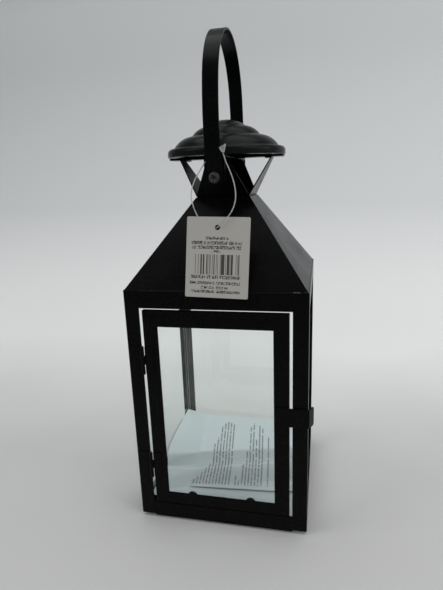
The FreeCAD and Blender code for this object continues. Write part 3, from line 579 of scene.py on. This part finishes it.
# Where each row ends, in millimetres behind the middle.
ROW_ENDS = [
    -12, -9, -3, 3, 9, 24, 30, 41, 45, 46, 45, 44, EMPTY, -6, -12, 9, 20, 41, 45, 30, 43, 40, EMPTY, 33,
]
PAPER_INK = (0.035, 0.042, 0.05, 1)
WORD, WORD_CUT, WORD_SHIFT, LETTER, LETTER_SHIFT = 2.2, 0.37, 31.7, 0.8, 17.3
leaflet_paper, chart, blank = paper("leaflet_paper")
# The print's own axes: millimetres from the sheet's middle, turned a little on the sheet.
axes = {"Location": (0.5, 0.5, 0), "Rotation": (0, 0, math.radians(PRINT_TURN)), "Scale": (0.01, 0.01, 1)}
turned = leaflet_paper.node("ShaderNodeMapping", {"vector_type": "TEXTURE"}, {"Vector": chart, **axes})
across, along = leaflet_paper.along(turned, "X"), leaflet_paper.along(turned, "Y")
row = (across - FIRST_ROW) / ROW_PITCH
row_number = leaflet_paper.maths("FLOOR", row)
in_row = leaflet_paper.maths("FRACT", row)
steps = [(number / len(ROW_ENDS), (end - EMPTY) / ROW_SPAN) for number, end in enumerate(ROW_ENDS)]
row_end = leaflet_paper.node("ShaderNodeValToRGB", {"stops": steps}, {"Fac": (row_number + 0.5) / len(ROW_ENDS)})
text_area = band(across, FIRST_ROW, len(ROW_ENDS) * ROW_PITCH + FIRST_ROW) * band(in_row, 0.26, 0.72)
text_area = text_area * band(along, ROW_FOOT, row_end * ROW_SPAN + EMPTY)
words = leaflet_paper.noise(along + row_number * WORD_SHIFT, WORD, 2.0, "1D") > WORD_CUT
letters = leaflet_paper.noise(along + row_number * LETTER_SHIFT, LETTER, 1.0, "1D")
ink = text_area * words * (0.35 + letters * 0.6)
leaflet_paper.vary("Base Color", leaflet_paper.mix(ink, blank, PAPER_INK))
print("leaflet has", len(ROW_ENDS), "rows of text")

# %% [markdown]
# ### The stage's finish
#
# The sheet under the lantern is plain, pale and matt, with a very slight unevenness. Its colour carries painted
# light and shade:
# it is palest just behind the lantern, and painted darker towards the front, far out in front and high up. Seen from
# the front, those parts only show as soft reflections in the black paint; seen from the sides or the rear they come
# into view.

# %% Mix the stage's finish
# Painted light and shade: palest behind the lantern, darker towards the front, far out in front and high up.
FLOOR_FRONT_SHADED, FLOOR_BACK_LIT = (0.57, 0.57, 0.56, 1), (0.82, 0.82, 0.81, 1)
WALL_PALE, FAR_PAINTED_SHADE = (0.66, 0.67, 0.675, 1), (0.36, 0.36, 0.355, 1)
pale_sheet = Finish("pale_sheet", Specular_IOR_Level=0.2)
place = pale_sheet.place()
cloudy = pale_sheet.noise(place, 0.25, 2.0)
depth = pale_sheet.along(place, "Y") + (cloudy - 0.5) * 0.2
height = pale_sheet.along(place, "Z")
# Painted shade far out in front and high up.
far_painted_shade = pale_sheet.share((depth + 0.15) * -2.0) + pale_sheet.share((height - 0.75) * 2.0)
tone = pale_sheet.mix(pale_sheet.share(depth * 3.3), FLOOR_FRONT_SHADED, FLOOR_BACK_LIT)
tone = pale_sheet.mix(pale_sheet.share(height * 6.0), tone, WALL_PALE)
pale_sheet.vary("Base Color", pale_sheet.mix(far_painted_shade, tone, FAR_PAINTED_SHADE))
pale_sheet.vary("Roughness", 0.55 + cloudy * 0.2)
stage_sheet.data.materials.append(pale_sheet.material)
print("stage dressed")

# %% [markdown]
# ## Pieces of folded sheet
#
# Posts, rails, sills, roof panels and legs are cut from thin sheet and folded. Their size and folds are
# right in the engineering model, but its edges are perfectly sharp, and a real cut edge is a little
# rounded, deburred and thick with paint. Each is copied, welded into one skin, its flat faces are joined,
# and every sharp edge gets a small bevel. A piece that repeats round the lantern is made once, at the
# front, and copied by quarter turns.

# %% Helpers for soft edges
def welded_copy(node, name):
    """A copy of an engineering piece with its skin welded and its flat faces joined."""
    piece = bpy.data.objects.new(name, frame["nodes"][node].data.copy())
    bpy.context.scene.collection.objects.link(piece)
    edit(piece)
    bpy.ops.mesh.select_all(action="SELECT")
    bpy.ops.mesh.remove_doubles(threshold=0.002 * MM)
    bpy.ops.mesh.dissolve_limited(angle_limit=math.radians(0.1))
    bpy.ops.object.mode_set(mode="OBJECT")
    if piece.data.has_custom_normals:
        bpy.ops.mesh.customdata_custom_splitnormals_clear()
    return piece


def soften(piece, width, segments=2):
    """Bevels every sharp edge by a width. The flat faces keep their own direction when it is shaded."""
    edit(piece, "EDGE")
    bpy.ops.mesh.edges_select_sharp(sharpness=math.radians(35))
    bpy.ops.mesh.bevel(offset=width, segments=segments, affect="EDGES")
    done(piece, angle=50)
    bpy.ops.object.modifier_add(type="WEIGHTED_NORMAL")
    bpy.ops.object.modifier_apply(modifier=piece.modifiers[-1].name)


def quarter_copy(piece, name, degrees):
    """A copy of a piece, turned about the lantern's axis, with its own mesh."""
    twin = bpy.data.objects.new(name, piece.data.copy())
    twin.data.transform(Matrix.Rotation(math.radians(degrees), 4, "Z"))
    bpy.context.scene.collection.objects.link(twin)
    return twin


def install(piece, body, slot, finish, *nodes):
    """Gives a piece its finish, puts it in its body and hides the engineering pieces it stands for. The slot is not
    used.
    """
    piece.data.materials.clear()
    piece.data.materials.append(finish.material)
    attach(piece, body)
    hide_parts(*nodes)


EDGE = 0.14 * MM
print("edges will be", EDGE / MM, "mm round")

# %% Fold the body's sheet pieces
SIDES = {"front": 0, "right": 90, "rear": 180, "left": 270}
CORNERS = {"front_left": 0, "front_right": 90, "rear_right": 180, "rear_left": 270}


def fold_all_round(first, places, kind):
    """Softens the first piece of a kind and copies it to the other places round the body."""
    pattern = welded_copy("%s_%s" % (first, kind), "pattern")
    soften(pattern, EDGE)
    for name, degrees in places.items():
        node = "%s_%s" % (name, kind)
        piece = quarter_copy(pattern, node + "_sheet", degrees)
        install(piece, "lantern_body", "black_paint", black, node)
    print(kind, "x", len(places), "with", len(pattern.data.polygons), "faces")
    bpy.data.objects.remove(pattern)


fold_all_round("front_left", CORNERS, "post")
for kind in ("header", "sill", "roof_panel", "neck_leg"):
    fold_all_round("front", SIDES, kind)
single = {"lantern_body": ("base_tray", "cap_bracket", "right_glass_clips", "rear_glass_clips", "left_glass_clips"),
          "door": ("door_frame", "door_glass_clips")}
for body, nodes in single.items():
    for node in nodes:
        piece = welded_copy(node, node + "_sheet")
        soften(piece, EDGE)
        install(piece, body, "black_paint", black, node)

# %% [markdown]
# A spray gun hardly reaches into a narrow neck, so the legs' inner faces are given a thin, dry spray. It
# is as black but duller, so it mirrors less of the pale stage. Which way a face looks tells where it is:
# inner faces look up and back towards the lantern's axis.

# %% Dull the inner faces of the neck
dry_black, _, skin = paint("dry_black_spray", BODY_BLACK, 0.42)
dry_black.bump(skin, 0.02 * MM)
for side in SIDES:
    leg = bpy.data.objects["%s_neck_leg_sheet" % side]
    leg.data.materials.append(dry_black.material)
    inner = 0
    for face in leg.data.polygons:
        facing, from_axis = face.normal.xy, face.center.xy
        if face.normal.z > 0.2 and facing.length > 0.5 and facing.dot(from_axis) < 0:
            face.material_index = 1
            inner += 1
    print(leg.name, "inner faces", inner)

# %% [markdown]
# ### Panes
#
# Cut glass is ground along its edges so that it doesn't cut. Ground glass is frosted, and shows as a pale
# green line at the rim of each pane. So each pane's narrow faces are picked and given a finish of their
# own.

# %% Grind the panes
PANE_EDGE = 0.35 * MM
for side, body in (("right", "lantern_body"), ("rear", "lantern_body"), ("left", "lantern_body"), ("door", "door")):
    node = side + "_glass"
    piece = welded_copy(node, node + "_pane")
    soften(piece, PANE_EDGE, segments=1)
    install(piece, body, "clear_glass", glass, node)
    piece.data.materials.append(ground_glass.material)
    broadest = max(face.area for face in piece.data.polygons)
    for face in piece.data.polygons:
        face.material_index = 0 if face.area > broadest / 2 else 1
    print(node, len(piece.data.polygons), "faces")

# %% [markdown]
# ## The cap
#
# The cap is one pressing: a rolled rim, two swelling tiers and a low dome, hollow below, with a narrow
# lip turned in under the rim. A round shape is quickest as half its section, drawn as a line of edges
# and spun round the upright axis; stacking discs would leave joints. The line grows point by point, as
# by hand, and the tiers' arcs are worked out. Where the line turns, its corner is rounded before the
# spin, because sheet can't be pressed to a sharp crease.

# %% Draw a line of edges
def drawn_line(name, points):
    """A line of edges that starts as one vertex and is extruded from point to point."""
    bpy.ops.object.select_all(action="DESELECT")
    bpy.ops.mesh.primitive_plane_add(size=MM, location=(0, 0, 0))
    piece = bpy.context.object
    piece.name = name
    edit(piece, "VERT")
    bpy.ops.mesh.select_all(action="SELECT")
    bpy.ops.mesh.merge(type="CENTER")
    places = [MM * Vector(point) for point in points]
    bpy.ops.transform.translate(value=places[0])
    for here, there in zip(places, places[1:]):
        bpy.ops.mesh.extrude_region_move(TRANSFORM_OT_translate={"value": there - here})
    return piece


print("ready to draw")

# %% Helpers for spun shapes
def bow(start, end, radius, steps):
    """Points of an arc that bulges up and outwards, between two points of a section, the first left out."""
    (out, low), (inn, high) = start, end
    chord = math.hypot(inn - out, high - low)
    side, lift = (high - low) / chord, (out - inn) / chord
    back = math.sqrt(radius * radius - chord * chord / 4)
    centre = ((out + inn) / 2 - side * back, (low + high) / 2 - lift * back)
    first = math.atan2(low - centre[1], out - centre[0])
    last = math.atan2(high - centre[1], inn - centre[0])
    turns = [first + (last - first) * step / steps for step in range(1, steps + 1)]
    return [(centre[0] + radius * math.cos(turn), centre[1] + radius * math.sin(turn)) for turn in turns]


def spin_round(centre, axis, steps):
    """Spins the line that was just drawn all the way round, closes its skin and leaves edit mode."""
    bpy.ops.mesh.select_all(action="SELECT")
    bpy.ops.mesh.spin(steps=steps, angle=2 * math.pi, center=centre, axis=axis)
    bpy.ops.mesh.select_all(action="SELECT")
    bpy.ops.mesh.remove_doubles(threshold=0.005 * MM)
    bpy.ops.mesh.normals_make_consistent(inside=False)
    bpy.ops.object.mode_set(mode="OBJECT")


def apply_modifier(piece, kind, **settings):
    """Adds a modifier, sets it and applies it."""
    only(piece)
    bpy.ops.object.modifier_add(type=kind)
    modifier = piece.modifiers[-1]
    for name, value in settings.items():
        setattr(modifier, name, value)
    bpy.ops.object.modifier_apply(modifier=modifier.name)


print("ready to spin")

# %% Spin the cap
# Points of the section, as distance from the axis and height, and the radii of the arcs between them.
LIP_END, RIM_FOOT, RIM_TOP = (35.0, 255.4), (41.0, 255.4), (41.0, 258.4)
RIM_EDGE, TIER_FOOT = (38.2, 261.2), (36.6, 261.3)
LOWER_TOP, UPPER_TOP, CROWN = (23.9, 269.1), (14.4, 275.3), (0.0, 280.0)
RIM_ARC, LOWER_ARC, UPPER_ARC, CROWN_ARC = 2.8, 14.8, 12.9, 24.4
CORNER_RADII = {RIM_FOOT: 0.7, TIER_FOOT: 0.5, LOWER_TOP: 0.8, UPPER_TOP: 0.8}
CAP_WALL = 0.8
section = [LIP_END, RIM_FOOT, RIM_TOP] + bow(RIM_TOP, RIM_EDGE, RIM_ARC, 8) + [TIER_FOOT]
section += bow(TIER_FOOT, LOWER_TOP, LOWER_ARC, 14) + bow(LOWER_TOP, UPPER_TOP, UPPER_ARC, 12)
section += bow(UPPER_TOP, CROWN, CROWN_ARC, 10)
cap_pressing = drawn_line("cap_pressing", [(out, 0.0, up) for out, up in section])
for (out, up), radius in CORNER_RADII.items():
    bpy.ops.mesh.select_all(action="DESELECT")
    corner = MM * Vector((out, 0.0, up))
    pick("VERT", lambda vertex: (vertex.co - corner).length < 0.02 * MM)
    bpy.ops.mesh.bevel(offset=radius * MM, segments=4, affect="VERTICES")
spin_round(centre=(0, 0, 0), axis=(0, 0, 1), steps=112)
apply_modifier(cap_pressing, "SOLIDIFY", thickness=CAP_WALL * MM, offset=-1.0, use_even_offset=True)
done(cap_pressing, angle=40)
install(cap_pressing, "lantern_body", "cap_paint", gunmetal, "cap")
print("cap", len(cap_pressing.data.polygons), "faces from", len(section), "points")

# %% [markdown]
# ## The handle and its rivets
#
# The handle is a flat band bent to an arch and hung on two rivets. The engineering model's band is right,
# so a copy of it only has its edges rounded, more than thin sheet's, since thick strip is tumbled.
#
# Each rivet is a hollow one. The press rolls its open end outwards over the band into a little ring that
# is never quite even, and the paint on the ring's crest is rubbed off. It is a spun section too, and
# then the ring is dented in a few places. It is made at the front, and a copy is turned to the rear.

# %% Round the handle's edges
STRIP_EDGE = 0.28 * MM
handle_band = welded_copy("handle", "handle_band")
soften(handle_band, STRIP_EDGE)
install(handle_band, "handle", "handle_paint", black_handle, "handle")
print("handle", len(handle_band.data.polygons), "faces")

# %% Roll the front rivet
# Places along the rivet, counted from the lantern's axis, and radii.
PIVOT_HEIGHT = 241.4
INNER_END, EAR_INSIDE, UNDER_HEAD = 38.2, 39.0, 41.88
SHANK, INNER_HEAD = 2.0, 3.0
RING_MIDDLE, RING_HALF, RING_RISE = 2.3, 1.25, 0.85


def rivet_ring(steps=12):
    """Half an ellipse over the rolled ring, from its rim to its hollow."""
    turns = [math.pi * step / steps for step in range(steps + 1)]
    base = UNDER_HEAD + 0.25
    return [(base + RING_RISE * math.sin(turn), RING_MIDDLE + RING_HALF * math.cos(turn)) for turn in turns]


outline = [(INNER_END, 0.0), (INNER_END, INNER_HEAD - 0.5), (INNER_END + 0.3, INNER_HEAD - 0.1)]
outline += [(EAR_INSIDE, INNER_HEAD), (EAR_INSIDE, SHANK), (UNDER_HEAD, SHANK)]
outline += [(UNDER_HEAD, RING_MIDDLE + RING_HALF)] + rivet_ring() + [(UNDER_HEAD + 0.1, 0.0)]
handle_rivet_pair = drawn_line("handle_rivet_pair", [(0.0, -along, PIVOT_HEIGHT + out) for along, out in outline])
spin_round(centre=(0, 0, PIVOT_HEIGHT * MM), axis=(0, 1, 0), steps=36)
print("front rivet", len(handle_rivet_pair.data.polygons), "faces")

# %% Dent the ring and copy the rivet
# The direction of each dent round the ring, in radians, and its depth.
DENTS = ((0.4, 0.16), (1.5, 0.10), (2.5, 0.20), (3.7, 0.12), (4.6, 0.18), (5.6, 0.10))
RING_CREST = -(UNDER_HEAD + 0.6) * MM


def towards(vertex, ray):
    """How well a vertex lies in a direction from the rivet's middle line; 1 is exactly."""
    return Vector((vertex.co.x, 0, vertex.co.z - PIVOT_HEIGHT * MM)).normalized().dot(ray)


edit(handle_rivet_pair, "VERT")
for turn, depth in DENTS:
    bpy.ops.mesh.select_all(action="DESELECT")
    ray = Vector((math.cos(turn), 0, math.sin(turn)))
    pick("VERT", lambda vertex: vertex.co.y < RING_CREST and towards(vertex, ray) > 0.96)
    bpy.ops.transform.translate(value=(0, depth * MM, 0))
bpy.ops.object.mode_set(mode="OBJECT")
rear_rivet = quarter_copy(handle_rivet_pair, "rear_rivet", 180)
only(handle_rivet_pair)
rear_rivet.select_set(True)
bpy.ops.object.join()
done(handle_rivet_pair, angle=50)
print("rivets", len(handle_rivet_pair.data.polygons), "faces")

# %% Mix the rivets' finish
RIVET_BLACK, RUBBED_STEEL = (0.006, 0.006, 0.006, 1), (0.16, 0.16, 0.155, 1)
rivet_paint = Finish("rubbed_rivet_paint", Specular_IOR_Level=0.5)
place = rivet_paint.place()
grain = rivet_paint.noise(place, 0.6 * MM, 3.0)
from_middle = rivet_paint.maths("ABSOLUTE", rivet_paint.along(place, "Y"))
rubbed = (from_middle > (UNDER_HEAD + 0.92) * MM) * (grain > 0.45)
rivet_paint.vary("Base Color", rivet_paint.mix(rubbed * 0.8, RIVET_BLACK, RUBBED_STEEL))
rivet_paint.vary("Metallic", rubbed * 0.7)
rivet_paint.vary("Roughness", 0.28 + grain * 0.2)
rivet_paint.bump(grain, 0.04 * MM)
install(handle_rivet_pair, "lantern_body", "black_paint", rivet_paint, "handle_rivets")
print("rivets dressed")

# %% [markdown]
# ## Hinges and latch
#
# A hinge is two leaves of thin sheet rolled round a wire pin. Leaves and pins only need the paint's
# thickness on their edges. The latch is a spring strap on the door that snaps round the post's corner;
# the free end's two corners are cut round, so that they don't scratch a finger.

# %% Finish the hinges
HINGE_EDGE = 0.09 * MM
for level in ("upper", "lower"):
    for part, body, finish, slot in (("post_leaf", "lantern_body", black, "black_paint"),
                                     ("door_leaf", "door", black, "black_paint"),
                                     ("pin", "lantern_body", wire, "hinge_pin")):
        node = "%s_hinge_%s" % (level, part)
        piece = welded_copy(node, node + "_steel")
        soften(piece, HINGE_EDGE)
        install(piece, body, slot, finish, node)
        print(node, len(piece.data.polygons), "faces")

# %% Round the latch strap
# The free end lies outside the post and behind the strap's bend; its corners are level and as long as the
# sheet is thick.
OUTSIDE_POST, BEHIND_BEND, STRAP_SHEET, STRAP_ROUND = 62.0 * MM, -55.5 * MM, 0.8 * MM, 1.5 * MM


def at_free_end(edge):
    """Whether an edge is one of the two corners of the strap's free end."""
    span = edge.verts[1].co - edge.verts[0].co
    right_size = abs(span.length - STRAP_SHEET) < 0.05 * MM and abs(span.z) < 0.01 * MM
    return right_size and middle(edge).x > OUTSIDE_POST and middle(edge).y > BEHIND_BEND


latch_spring = welded_copy("latch_strap", "latch_spring")
edit(latch_spring, "EDGE")
corners = pick("EDGE", at_free_end)
bpy.ops.mesh.bevel(offset=STRAP_ROUND, segments=6, affect="EDGES")
soften(latch_spring, EDGE)
install(latch_spring, "door", "black_paint", black, "latch_strap")
print("latch corners", corners, "faces", len(latch_spring.data.polygons))

# %% [markdown]
# ## The card
#
# The card is cut from board with small round corners and a punched hole. It is drawn lying flat: a plane,
# its corners rounded, a ring of edges for the hole, and the space between the two filled. Then it gets
# its thickness, and last it is stood up, turned and leaned against the roof as a real card would be.
# Its UV map is set while it is flat, when a place on the card is simply its x and y.

# %% Cut the card
CARD_WIDTH, CARD_HEIGHT, CARD_BOARD = 40.0, 50.0, 0.45
HOLE_ASIDE, HOLE_DROP, HOLE_RADIUS = 0.5, 6.5, 1.65
CARD_CORNER = 1.0


def flat_map(piece, low, size):
    """Gives a flat-lying piece a UV map in which its low corner is (0, 0) and low + size is (1, 1)."""
    for old in list(piece.data.uv_layers):
        piece.data.uv_layers.remove(old)
    layer = piece.data.uv_layers.new(name="flat")
    for loop in piece.data.loops:
        place = piece.data.vertices[loop.vertex_index].co / MM
        layer.data[loop.index].uv = [(place[axis] - low[axis]) / size[axis] for axis in (0, 1)]


bpy.ops.object.select_all(action="DESELECT")
bpy.ops.mesh.primitive_plane_add(size=MM, location=(HOLE_ASIDE * MM, (HOLE_DROP - CARD_HEIGHT / 2) * MM, 0))
hang_card = bpy.context.object
hang_card.name = "hang_card"
hang_card.scale = (CARD_WIDTH, CARD_HEIGHT, 1)
bpy.ops.object.transform_apply(location=True, rotation=True, scale=True)
edit(hang_card, "VERT")
bpy.ops.mesh.select_all(action="SELECT")
bpy.ops.mesh.bevel(offset=CARD_CORNER * MM, segments=5, affect="VERTICES")
bpy.ops.mesh.select_all(action="SELECT")
bpy.ops.mesh.delete(type="ONLY_FACE")
bpy.ops.mesh.primitive_circle_add(vertices=40, radius=HOLE_RADIUS * MM, location=(0, 0, 0))
bpy.ops.mesh.select_all(action="SELECT")
bpy.ops.mesh.fill(use_beauty=True)
bpy.ops.mesh.normals_make_consistent(inside=False)
bpy.ops.object.mode_set(mode="OBJECT")
if hang_card.data.polygons[0].normal.z < 0:
    hang_card.data.flip_normals()
flat_map(hang_card, (HOLE_ASIDE - CARD_WIDTH / 2, HOLE_DROP - CARD_HEIGHT), (CARD_WIDTH, CARD_HEIGHT))
print("card's flat edges", len(hang_card.data.edges))

# %% Thicken the card and lean it on the roof
CARD_PLACE, CARD_LEAN, CARD_TURN = (3.5, -52.983, 211.627), 10.6, 1.75
hang_card.data.materials.append(printed.material)
hang_card.data.materials.append(board.material)
apply_modifier(hang_card, "SOLIDIFY", thickness=CARD_BOARD * MM, offset=-1.0, material_offset=1,
               material_offset_rim=1)
lean = Matrix.Rotation(math.radians(-CARD_LEAN), 4, "X") @ Matrix.Rotation(math.radians(CARD_TURN), 4, "Y")
stand = Matrix.Translation((0, -CARD_BOARD * MM, 0)) @ Matrix.Rotation(math.radians(90), 4, "X")
hang_card.matrix_world = Matrix.Translation(MM * Vector(CARD_PLACE)) @ lean @ stand
only(hang_card)
bpy.ops.object.transform_apply(location=True, rotation=True, scale=True)
done(hang_card)
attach(hang_card, "tag")
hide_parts("hang_tag")
print("card", [round(size / MM, 1) for size in hang_card.dimensions])

# %% [markdown]
# ## The loop's lock
#
# The loop closes in a moulded wedge with a recess in its face. It starts as its outline, drawn with
# edges, filled and extruded to its thickness. Its face is inset and pushed in, and its edges rounded.

# %% Mould the lock
LOCK_FRONT, LOCK_BACK = -48.0, -46.0
LOCK_FACE_RIM, LOCK_RECESS, LOCK_EDGE = 0.45 * MM, 0.5 * MM, 0.2 * MM
wedge = [(8.0, 256.05), (6.4, 256.25), (5.0, 258.9), (9.2, 261.0)]
loop_lock = drawn_line("loop_lock", [(across, LOCK_BACK, up) for across, up in wedge])
bpy.ops.mesh.select_all(action="SELECT")
bpy.ops.mesh.edge_face_add()
bpy.ops.mesh.extrude_region_move(TRANSFORM_OT_translate={"value": (0, (LOCK_FRONT - LOCK_BACK) * MM, 0)})
bpy.ops.mesh.select_all(action="SELECT")
bpy.ops.mesh.normals_make_consistent(inside=False)
bpy.ops.mesh.select_all(action="DESELECT")
pick("FACE", lambda face: face.normal.y < -0.9)
bpy.ops.mesh.inset(thickness=LOCK_FACE_RIM)
bpy.ops.mesh.extrude_region_move(TRANSFORM_OT_translate={"value": (0, LOCK_RECESS, 0)})
soften(loop_lock, LOCK_EDGE)
install(loop_lock, "handle", "nylon", nylon, "tag_loop_head")
tag_filament.data.materials.clear()
tag_filament.data.materials.append(nylon.material)
print("lock", len(loop_lock.data.polygons), "faces")

# %% [markdown]
# ## The leaflet
#
# The leaflet is one sheet folded in two. It lies on the tray, climbs towards the rear pane, and its left
# flap stands against the left pane. Across the middle it has buckled: behind a low ridge it climbs
# steeply to a crease that runs slantwise, and from there it leans on the rear pane. A sheet that bends
# one way is a line drawn from front to rear and extruded sideways. The flap is one more extrusion, and
# then the far points of each bend are moved to where the bend ends. Subdividing turns the bends into
# curves, except at creases, which are told to stay sharper. The printed ply lies on the lower one and
# ends short of the front, where its edge lifts a little.

# %% Helpers for the leaflet's plies
HALF_SHEET, FLAP_EDGE = 51.5, -55.2
# From front to rear, the place and height of each bend at the flap's fold, the right edge and the flap's edge.
BENDS = [
    ((-51.4, 3.4), (-51.4, 3.4), (-51.4, 13.0)), ((-46.3, 0.85), (-46.3, 0.85), (-46.0, 13.0)),
    ((-16.0, 0.9), (-8.0, 0.9), (-30.0, 11.5)), ((-1.5, 3.0), (22.4, 3.4), (-15.0, 10.0)),
    ((5.5, 1.7), (27.0, 3.0), (-12.6, 11.0)), ((13.6, 9.5), (32.3, 10.3), (-11.5, 21.0)),
    ((18.0, 11.2), (35.5, 12.4), (-5.0, 26.5)), ((51.3, 23.9), (51.3, 23.9), (51.3, 28.1)),
]
# The bends that stay sharper, by their number in the list, and how sharp; then the flap's fold.
CREASED, FOLD_CREASE = {4: 0.4, 5: 0.8}, 0.9


def end_of(bends, far, across):
    """Moves the end of each bend, which is still in line with the flap's fold, to its own place."""
    for at_fold, *others in bends:
        place, height = at_fold
        bpy.ops.mesh.select_all(action="DESELECT")
        pick("VERT", lambda vertex: abs(vertex.co.x - across * MM) < MM and abs(vertex.co.y - place * MM) < 0.1 * MM)
        shift = others[far][0] - place, others[far][1] - height
        bpy.ops.transform.translate(value=(0, shift[0] * MM, shift[1] * MM))


def crease(value, test):
    """Makes the edges that pass a test stay sharper when the sheet is subdivided."""
    bpy.ops.mesh.select_all(action="DESELECT")
    pick("EDGE", test)
    bpy.ops.transform.edge_crease(value=value)


def ply(name, bends, lift, flap):
    """One layer of the leaflet, with its fold and creases, as a thin open sheet."""
    sheet = drawn_line(name, [(HALF_SHEET, place, lift + height) for (place, height), _, _ in bends])
    bpy.ops.mesh.select_all(action="SELECT")
    bpy.ops.mesh.extrude_region_move(TRANSFORM_OT_translate={"value": ((FLAP_FOLD - HALF_SHEET) * MM, 0, 0)})
    if flap:
        bpy.ops.mesh.extrude_region_move(TRANSFORM_OT_translate={"value": ((FLAP_EDGE - FLAP_FOLD) * MM, 0, 0)})
    bpy.ops.mesh.select_all(action="SELECT")
    bpy.ops.mesh.normals_make_consistent(inside=False)
    crease(FOLD_CREASE, lambda edge: abs(middle(edge).x - FLAP_FOLD * MM) < MM)
    for number, value in CREASED.items():
        place = BENDS[number][0][0] * MM
        crease(value, lambda edge: all(abs(vertex.co.y - place) < 0.1 * MM for vertex in edge.verts))
    end_of(bends, 0, HALF_SHEET)
    end_of(bends, 1, FLAP_EDGE)
    bpy.ops.object.mode_set(mode="OBJECT")
    if sheet.data.polygons[0].normal.z < 0:
        sheet.data.flip_normals()
    apply_modifier(sheet, "SUBSURF", levels=4, render_levels=4, boundary_smooth="PRESERVE_CORNERS")
    return sheet


print("leaflet has", len(BENDS), "bends")

# %% Bend the leaflet's plies
PLY_GAP, PAPER = 0.42, 0.12 * MM
# The printed ply starts with its own lifted front edge and then follows the lower ply from the ridge on.
FRONT_EDGE = [((-24.5, 2.2), (-18.5, 2.2), (0, 0)), ((-21.5, 1.5), (-15.5, 1.5), (0, 0))]
lower_ply = ply("leaflet_sheets", BENDS, 0.0, flap=True)
upper_ply = ply("printed_ply", FRONT_EDGE + BENDS[3:], PLY_GAP, flap=False)
for sheet, layers in ((lower_ply, (blank_paper, blank_paper)), (upper_ply, (leaflet_paper, blank_paper))):
    flat_map(sheet, (-50.0, -50.0), (100.0, 100.0))
    for layer in layers:
        sheet.data.materials.append(layer.material)
    apply_modifier(sheet, "SOLIDIFY", thickness=PAPER, offset=1.0, material_offset=1, material_offset_rim=1)
only(lower_ply)
upper_ply.select_set(True)
bpy.ops.object.join()
leaflet = lower_ply
done(leaflet, angle=40)
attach(leaflet, "lantern_body")
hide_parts("paper_leaflet")
low, high = [[round(part / MM, 1) for part in corner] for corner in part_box("paper_leaflet")]
print("leaflet", len(leaflet.data.polygons), "faces; engineering box", low, high)
